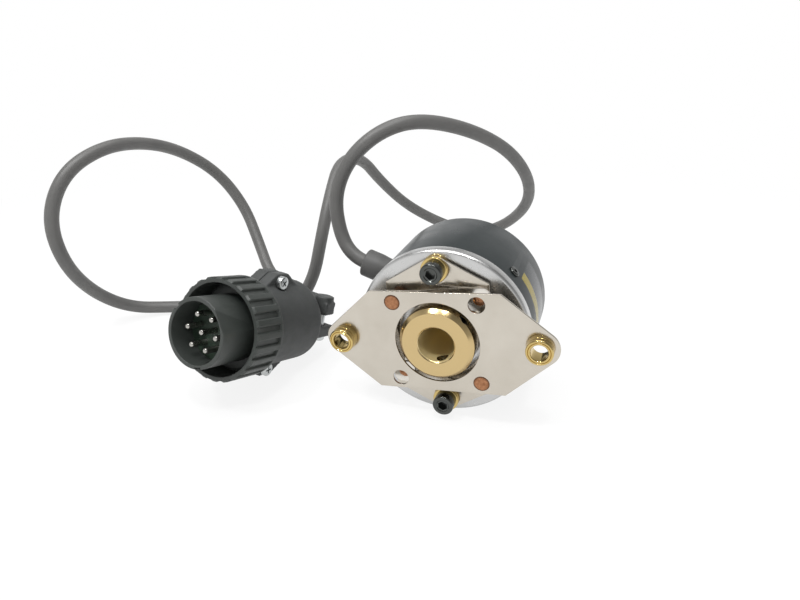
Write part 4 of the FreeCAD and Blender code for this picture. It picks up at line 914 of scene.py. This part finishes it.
rear_rivets = rivet_pair(
    "rear_rivet", REAR_HEAD_RADIUS, REAR_PLATE_BACK, REAR_PLATE_FACE + FLEX_THICKNESS, rear_rivet_spots
)
fitted(rear_rivets, "encoder", "copper", "rear_rivets")
front_rivets = rivet_pair(
    "front_rivet", FRONT_HEAD_RADIUS, FRONT_PLATE_BACK - FLEX_THICKNESS, FRONT_PLATE_FACE, front_rivet_spots
)
fitted(front_rivets, "coupling_front", "copper", "front_rivets")


# Front plate: the same nickel-plated sheet, with long ears for the two screws into the machine.
# It floats on the flex plate, in front of the rear plate.

EAR_REACH = 32.5
EAR_HOLE = 3.32
RIVET_WINDOW = 2.7
ear_spots = [(EAR_REACH, 0), (-EAR_REACH, 0)]
front_plate = sheet_metal(
    "front_coupling_plate",
    [eared(half=17.5, corner=21.2, reach=EAR_REACH, radius=6.0, turn=0)]
    + [round_hole((0, 0), WINDOW_RADIUS, steps=96)]
    + [round_hole(spot, RIVET_HOLE) for spot in front_rivet_spots]
    + [round_hole(spot, RIVET_WINDOW) for spot in rear_rivet_spots]
    + [round_hole(spot, EAR_HOLE) for spot in ear_spots],
    FRONT_PLATE_BACK, FRONT_PLATE_FACE, plate_nickel,
)
fitted(front_plate, "coupling_front", "plated_plate", "front_plate")


# Front bushings: turned brass eyelets, rolled into the front plate's ears, with a fine groove round the
# front half and another on the rim. The screws into the machine pass through them.

EYELET_RADIUS = 4.25
EYELET_NECK = 3.3
EYELET_HOLE = 2.7
EYELET_BACK = 6.8
EYELET_FRONT = 12.6
front_bushing = turned("front_bushing", here, [
    (EYELET_HOLE, EYELET_BACK, 0.2), (EYELET_RADIUS, EYELET_BACK, 0.5), (EYELET_RADIUS, FRONT_PLATE_BACK),
    (EYELET_NECK, FRONT_PLATE_BACK), (EYELET_NECK, FRONT_PLATE_FACE), (EYELET_RADIUS, FRONT_PLATE_FACE),
    (EYELET_RADIUS, 10.7, 0.12), (3.9, 10.7), (3.9, 11.1), (EYELET_RADIUS, 11.1, 0.12),
    (EYELET_RADIUS, EYELET_FRONT, 0.5), (3.6, EYELET_FRONT), (3.45, 12.4), (3.3, EYELET_FRONT),
    (EYELET_HOLE, EYELET_FRONT, 0.25),
], steps=64)
front_bushings = set_out(
    "front_bushing_pair", front_bushing, at_spots(encoder_frame, ear_spots), bushing_brass
)
fitted(front_bushings, "coupling_front", "brass", "front_bushings")


# Cap screws: black-oxide steel with a round head and a hexagon socket.
# They go through the rear bushings into the flange, and hold the whole coupling on it.

CAP_HEAD_RADIUS = 3.5
CAP_HEAD_TOP = 10.2
CAP_SHANK_RADIUS = 2.0
CAP_SHANK_END = -6.8
cap_screw = turned("cap_screw", here, [
    (0, CAP_SHANK_END), (CAP_SHANK_RADIUS, CAP_SHANK_END, 0.4), (CAP_SHANK_RADIUS, BUSHING_TOP),
    (CAP_HEAD_RADIUS, BUSHING_TOP, 0.15), (CAP_HEAD_RADIUS, CAP_HEAD_TOP, 0.5),
    (2.3, CAP_HEAD_TOP, 0.1), (2.0, 9.9), (0, 9.9),
], steps=48)
carved(cap_screw, bores([here], radius=1.73, low=8.0, high=10.9, sides=6))
cap_screws = set_out("cap_screw_pair", cap_screw, cap_places, black_oxide, spread=1.0, seed=2)
fitted(cap_screws, "encoder", "black_oxide", "cap_screws")


# Plug barrel: a moulded sleeve with one wide and two narrow key grooves for the mating plug.
# Its collar keeps the coupling ring on, and its neck is held by the plug's shells.

BARREL_RADIUS = 11.9
BARREL_BORE = 10.5
BARREL_END = -30.0
COLLAR_RADIUS = 14.6
COLLAR_FRONT = -17.8
COLLAR_BACK = -19.8
NECK_RADIUS = 12.6
KEY_FLOOR = 11.1

# the plug's own frame: z points out of the barrel's mouth, and its front rim is at 0
plug_frame = (
    Matrix.Translation((-0.0745, -0.0323, 0.0020))
    @ Matrix.Rotation(math.radians(-8.6), 4, "Z")
    @ Matrix.Rotation(math.radians(72), 4, "X")
)
plug_black = moulded("plug_black", (0.031, 0.036, 0.032), (0.039, 0.044, 0.041), 0.46, grain=2200.0)


def bar(at, x_low, x_high, y_half, z_low, z_high):
    """A box-shaped cutter in millimetres, in its own frame."""
    shape = bmesh.new()
    bmesh.ops.create_cube(shape, size=1.0)
    stretch = Matrix.Diagonal((x_high - x_low, 2 * y_half, z_high - z_low, 1))
    middle = Matrix.Translation(((x_low + x_high) / 2, 0, (z_low + z_high) / 2))
    shape.transform(at @ Matrix.Scale(MM, 4) @ middle @ stretch)
    return shape


plug_barrel = turned("barrel_body", plug_frame, [
    (BARREL_BORE, 0, 0.25), (BARREL_RADIUS, 0, 0.3), (BARREL_RADIUS, COLLAR_FRONT),
    (COLLAR_RADIUS, COLLAR_FRONT, 0.2), (COLLAR_RADIUS, COLLAR_BACK, 0.2), (NECK_RADIUS, COLLAR_BACK),
    (NECK_RADIUS, BARREL_END), (BARREL_BORE, BARREL_END),
], plug_black, steps=144)
for angle, half_width in ((32, 4.5), (142, 1.3), (-78, 1.3)):
    key_frame = plug_frame @ Matrix.Rotation(math.radians(angle), 4, "Z")
    key = bar(key_frame, x_low=KEY_FLOOR, x_high=16, y_half=half_width, z_low=COLLAR_FRONT, z_high=1)
    carved(plug_barrel, [key])
fitted(plug_barrel, "encoder", "plug_black", "plug_barrel")


# Pin insert: a dark green moulded block that fills the barrel behind its mouth.
# It has a hole for each of the seven pins, six on a circle and one in the middle.

INSERT_RADIUS = 10.48
INSERT_FACE = -9.4
PIN_CIRCLE = 6.2
PIN_TURN = 113
insert_green = moulded("insert_green", (0.018, 0.034, 0.021), (0.026, 0.044, 0.029), 0.45)
pin_insert = turned("insert_body", plug_frame, [
    (0, INSERT_FACE), (INSERT_RADIUS, INSERT_FACE, 0.2), (INSERT_RADIUS, BARREL_END), (0, BARREL_END),
], insert_green, steps=96)
pin_angles = [math.radians(PIN_TURN + 60 * k) for k in range(6)]
pin_spots = [(0, 0)] + [(PIN_CIRCLE * math.cos(a), PIN_CIRCLE * math.sin(a)) for a in pin_angles]
pin_places = at_spots(plug_frame, pin_spots)
carved(pin_insert, bores(pin_places, radius=1.02, low=-31, high=-8, sides=24))
fitted(pin_insert, "encoder", "insert_green", "pin_insert")


# Contact pins: turned brass with a silver plate and rounded tips.
# They are pressed into the insert's holes and stand back a little from the barrel's rim.

PIN_RADIUS = 1.0
PIN_TIP = -2.4
PIN_END = -35.0
pin_silver = turned_metal("pin_silver", (0.46, 0.45, 0.42), 0.2, 0.36)
pin = turned("pin", here, [
    (0, PIN_END), (PIN_RADIUS, PIN_END, 0.2), (PIN_RADIUS, PIN_TIP, 0.6), (0, PIN_TIP),
], steps=24)
contact_pins = set_out("contact_pin_set", pin, pin_places, pin_silver)
fitted(contact_pins, "encoder", "pin_silver", "contact_pins")


# Coupling ring: a moulded nut with gripping ribs, loose on the barrel between its collar and the shells.
# The ribs run out at the front and end at a plain band behind.

RING_RADIUS = 18.0
RING_BORE = 16.0
RING_NECK = 12.9
RING_FRONT = -9.6
RING_BACK = -23.0
RING_SHOULDER = -20.1
RIB_BAND_START = -21.6
RIB_COUNT = 24
RIB_STEPS = 16
RIB_DEPTH = 0.9
RING_TURN = 11

flute_tree, given, taken = new_tree(
    "GeometryNodeTree", "flutes",
    [("Blank", "Geometry"), ("Ribs", "Float"), ("Rib Share", "Float"), ("Ease", "Float"), ("Depth", "Float"),
     ("Finish", "Material")],
    [("Ring", "Geometry")],
)
position = place(flute_tree, "GeometryNodeInputPosition").outputs[0]
on_ring = place(flute_tree, "ShaderNodeSeparateXYZ", Vector=position).outputs
bearing = reckon(flute_tree, "ARCTAN2", on_ring["Y"], on_ring["X"])
around = reckon(flute_tree, "DIVIDE", bearing, 2 * math.pi)
wave = reckon(flute_tree, "FRACT", reckon(flute_tree, "MULTIPLY", around, given["Ribs"]))
off_rib = reckon(flute_tree, "ABSOLUTE", reckon(flute_tree, "SUBTRACT", wave, 0.5))
rib_half = reckon(flute_tree, "DIVIDE", given["Rib Share"], 2.0)
rib_foot = reckon(flute_tree, "ADD", rib_half, given["Ease"])
sunk = graded(flute_tree, off_rib, (rib_half, rib_foot), kind="SMOOTHSTEP")
grip = place(flute_tree, "GeometryNodeInputNamedAttribute", {"data_type": "FLOAT"}, Name="grip")
share = reckon(flute_tree, "MULTIPLY", sunk, grip.outputs["Attribute"])
depth = reckon(flute_tree, "MULTIPLY", share, given["Depth"])
outward = place(flute_tree, "ShaderNodeCombineXYZ", X=on_ring["X"], Y=on_ring["Y"])
unit = place(flute_tree, "ShaderNodeVectorMath", {"operation": "NORMALIZE"}, _0=outward.outputs[0])
shift = place(
    flute_tree, "ShaderNodeVectorMath", {"operation": "SCALE"}, _0=unit.outputs[0],
    Scale=reckon(flute_tree, "MULTIPLY", depth, -1.0),
)
fluted = place(flute_tree, "GeometryNodeSetPosition", Geometry=given["Blank"], Offset=shift.outputs[0])
ring_finish = place(
    flute_tree, "GeometryNodeSetMaterial", Geometry=fluted.outputs[0], Material=given["Finish"]
)
flute_tree.links.new(ring_finish.outputs[0], taken["Ring"])

coupling_ring = turned("ribbed_ring", here, [
    (RING_BORE, RING_FRONT, 0.3), (17.4, RING_FRONT), (RING_RADIUS, -10.2), (RING_RADIUS, -15),
    (RING_RADIUS, RIB_BAND_START), (RING_RADIUS, RIB_BAND_START - 0.25), (RING_RADIUS, RING_BACK, 0.4),
    (RING_NECK, RING_BACK, 0.3), (RING_NECK, RING_SHOULDER), (RING_BORE, RING_SHOULDER),
], steps=RIB_COUNT * RIB_STEPS)
grips = coupling_ring.data.attributes.new("grip", "FLOAT", "POINT")
for index, vertex in enumerate(coupling_ring.data.vertices):
    reach = math.hypot(vertex.co.x, vertex.co.y) / MM
    grips.data[index].value = float(reach > RING_RADIUS - 0.1 and vertex.co.z / MM > RIB_BAND_START - 0.1)
worked(
    coupling_ring, flute_tree,
    Ribs=float(RIB_COUNT), Rib_Share=0.46, Ease=0.07, Depth=RIB_DEPTH * MM, Finish=plug_black,
)
coupling_ring.data.attributes.remove(coupling_ring.data.attributes["grip"])
coupling_ring.data.transform(plug_frame @ Matrix.Rotation(math.radians(RING_TURN), 4, "Z"))
smoothed(coupling_ring)
fitted(coupling_ring, "plug_ring", "plug_black", "coupling_ring")


# Plug shells: two moulded halves that close round the barrel's neck and run out into the clamp's jaw.
# Their edges are as soft as a mould leaves them.

shell_black = moulded(
    "shell_black", (0.037, 0.040, 0.039), (0.046, 0.049, 0.048), 0.56, grain=1600.0, depth=1e-5
)


def moulding(node, name, material, grain=0.42, passes=9):
    """A copy of a CAD node on an even mesh, smoothed in passes until its edges look moulded."""
    piece = dressed(node, name, material)
    even = piece.modifiers.new("even_mesh", "REMESH")
    even.mode = "VOXEL"
    even.voxel_size = grain * MM
    ease = piece.modifiers.new("eased_edges", "SMOOTH")
    ease.factor = 0.5
    ease.iterations = passes
    plain(piece)
    smoothed(piece, 60)
    return piece


left_shell = moulding("left_shell", "left_half", shell_black)
fitted(left_shell, "encoder", "plug_black", "left_shell")
right_shell = moulding("right_shell", "right_half", shell_black)
fitted(right_shell, "encoder", "plug_black", "right_shell")


# Shell screws: zinc-plated, with a cross recess in a round head.
# They go sideways through the lugs of the two shells and pull them together.

SHELL_TURN = -4.6
LUG_DEPTH = 33.7
LUG_REACH = 16.6
SCREW_RADIUS = 1.5
SHELL_HEAD_SEAT = 4.6
SHELL_HEAD_TOP = 6.8
shell_frame = plug_frame @ Matrix.Rotation(math.radians(SHELL_TURN), 4, "Z")


def cross_recess(piece, low, high, reach=1.35, half_width=0.3):
    """Cuts two crossed slots between two heights of a screw's head."""
    for angle in (0, 90):
        slot_frame = Matrix.Rotation(math.radians(angle), 4, "Z")
        carved(piece, [bar(slot_frame, -reach, reach, half_width, low, high)])


shell_screw = turned("shell_screw", here, [
    (0, -SHELL_HEAD_SEAT), (SCREW_RADIUS, -SHELL_HEAD_SEAT, 0.3), (SCREW_RADIUS, SHELL_HEAD_SEAT),
    (2.5, SHELL_HEAD_SEAT, 0.15), (2.5, SHELL_HEAD_TOP, 0.5), (0, SHELL_HEAD_TOP),
], steps=40)
cross_recess(shell_screw, low=5.8, high=7.5)
sideways = shell_frame @ Matrix.Rotation(math.radians(90), 4, "Y")
lug_places = at_spots(sideways, [(LUG_DEPTH, LUG_REACH), (LUG_DEPTH, -LUG_REACH)])
shell_screws = set_out("shell_screw_pair", shell_screw, lug_places, zinc_plate, spread=1.2, seed=4)
fitted(shell_screws, "encoder", "zinc_steel", "shell_screws")


# Clamp saddle: a moulded bridge over the cable's sheath, at the rear of the plug.
# It is of the same plastic as the shells, and the clamp screws pull it down on the shells' jaw.

clamp_saddle = moulding("clamp_saddle", "saddle", shell_black)
fitted(clamp_saddle, "encoder", "plug_black", "clamp_saddle")


# Clamp screws: zinc-plated, with a cross recess in a domed head.
# They come from under the shells' jaw and go up into the saddle.

CLAMP_REACH = 10.4
CLAMP_DEPTH = 57.0
CLAMP_HEAD_TOP = -6.6
CLAMP_HEAD_SEAT = -4.6
CLAMP_SCREW_END = 9.2
clamp_screw = turned("clamp_screw", here, [
    (0, CLAMP_HEAD_TOP), (2.7, CLAMP_HEAD_TOP, 1.0), (2.7, CLAMP_HEAD_SEAT, 0.15),
    (SCREW_RADIUS, CLAMP_HEAD_SEAT), (SCREW_RADIUS, CLAMP_SCREW_END, 0.3), (0, CLAMP_SCREW_END),
], steps=40)
cross_recess(clamp_screw, low=-7.2, high=-5.7)
upwards = shell_frame @ Matrix.Rotation(math.radians(-90), 4, "X")
clamp_places = at_spots(upwards, [(CLAMP_REACH, CLAMP_DEPTH), (-CLAMP_REACH, CLAMP_DEPTH)])
clamp_screws = set_out("clamp_screw_pair", clamp_screw, clamp_places, zinc_plate, spread=1.2, seed=6)
fitted(clamp_screws, "encoder", "zinc_steel", "clamp_screws")


# Cable: a grey round PVC sheath, stiff enough to stand up in loops.
# It leaves the boot, goes over behind the housing, round to the left and back into the plug.

CABLE_DIAMETER = 0.0053
cable_route = [
    (-37.17, 22.7, 11.19), (-41.87, 22.7, 12.60), (-48.0, 25.0, 19.5), (-50.7, 26.6, 33.8),
    (-45.5, 28.1, 47.5), (-35.1, 33.6, 57.6), (-23.2, 42.8, 60.9), (-8.0, 62.2, 55.0),
    (4.5, 83.0, 43.8), (11.5, 101.4, 27.6), (9.2, 119.4, 10.8), (-3.8, 135.3, -5.6),
    (-20.2, 139.5, -12.9), (-38.5, 140.6, -10.1), (-56.7, 131.5, 1.3), (-66.4, 116.7, 17.5),
    (-69.8, 99.2, 33.1), (-71.0, 77.0, 35.3), (-67.9, 59.8, 25.7), (-67.9, 48.6, 9.2),
    (-70.6, 44.4, -8.7), (-79.0, 41.4, -22.4), (-98.7, 40.0, -26.3), (-119.0, 37.5, -26.2),
    (-137.3, 29.7, -26.3), (-150.1, 18.5, -23.4), (-157.9, 7.6, -12.2), (-156.4, -4.2, 5.6),
    (-157.5, -4.9, 24.1), (-154.9, 4.2, 39.7), (-149.2, 19.9, 47.1), (-149.1, 43.1, 45.3),
    (-146.0, 63.9, 38.0), (-137.5, 78.7, 25.1), (-126.5, 82.0, 8.1), (-115.8, 74.9, -8.1),
    (-104.7, 65.2, -21.1), (-87.2, 60.8, -26.3), (-73.8, 49.8, -24.9), (-64.76, 32.12, -19.17),
    (-67.32, 15.19, -13.60),
]
cable_grey = moulded(
    "cable_grey", (0.092, 0.091, 0.088), (0.108, 0.106, 0.102), 0.46, grain=1500.0, depth=5e-6
)
sheath_curve = bpy.data.curves.new("cable_sheath", "CURVE")
sheath_curve.dimensions = "3D"
sheath_curve.resolution_u = 16
sheath_curve.bevel_depth = CABLE_DIAMETER / 2
sheath_curve.bevel_resolution = 6
sheath_curve.use_fill_caps = True
spline = sheath_curve.splines.new("NURBS")
spline.points.add(len(cable_route) - 1)
for point, (x, y, z) in zip(spline.points, cable_route):
    point.co = (x / 1000, y / 1000, z / 1000, 1)
spline.order_u = 3
spline.use_endpoint_u = True
sheath_curve.materials.append(cable_grey)
cable_sheath = new_object("cable_sheath", sheath_curve)
fitted(cable_sheath, "encoder", "cable_grey", "cable")
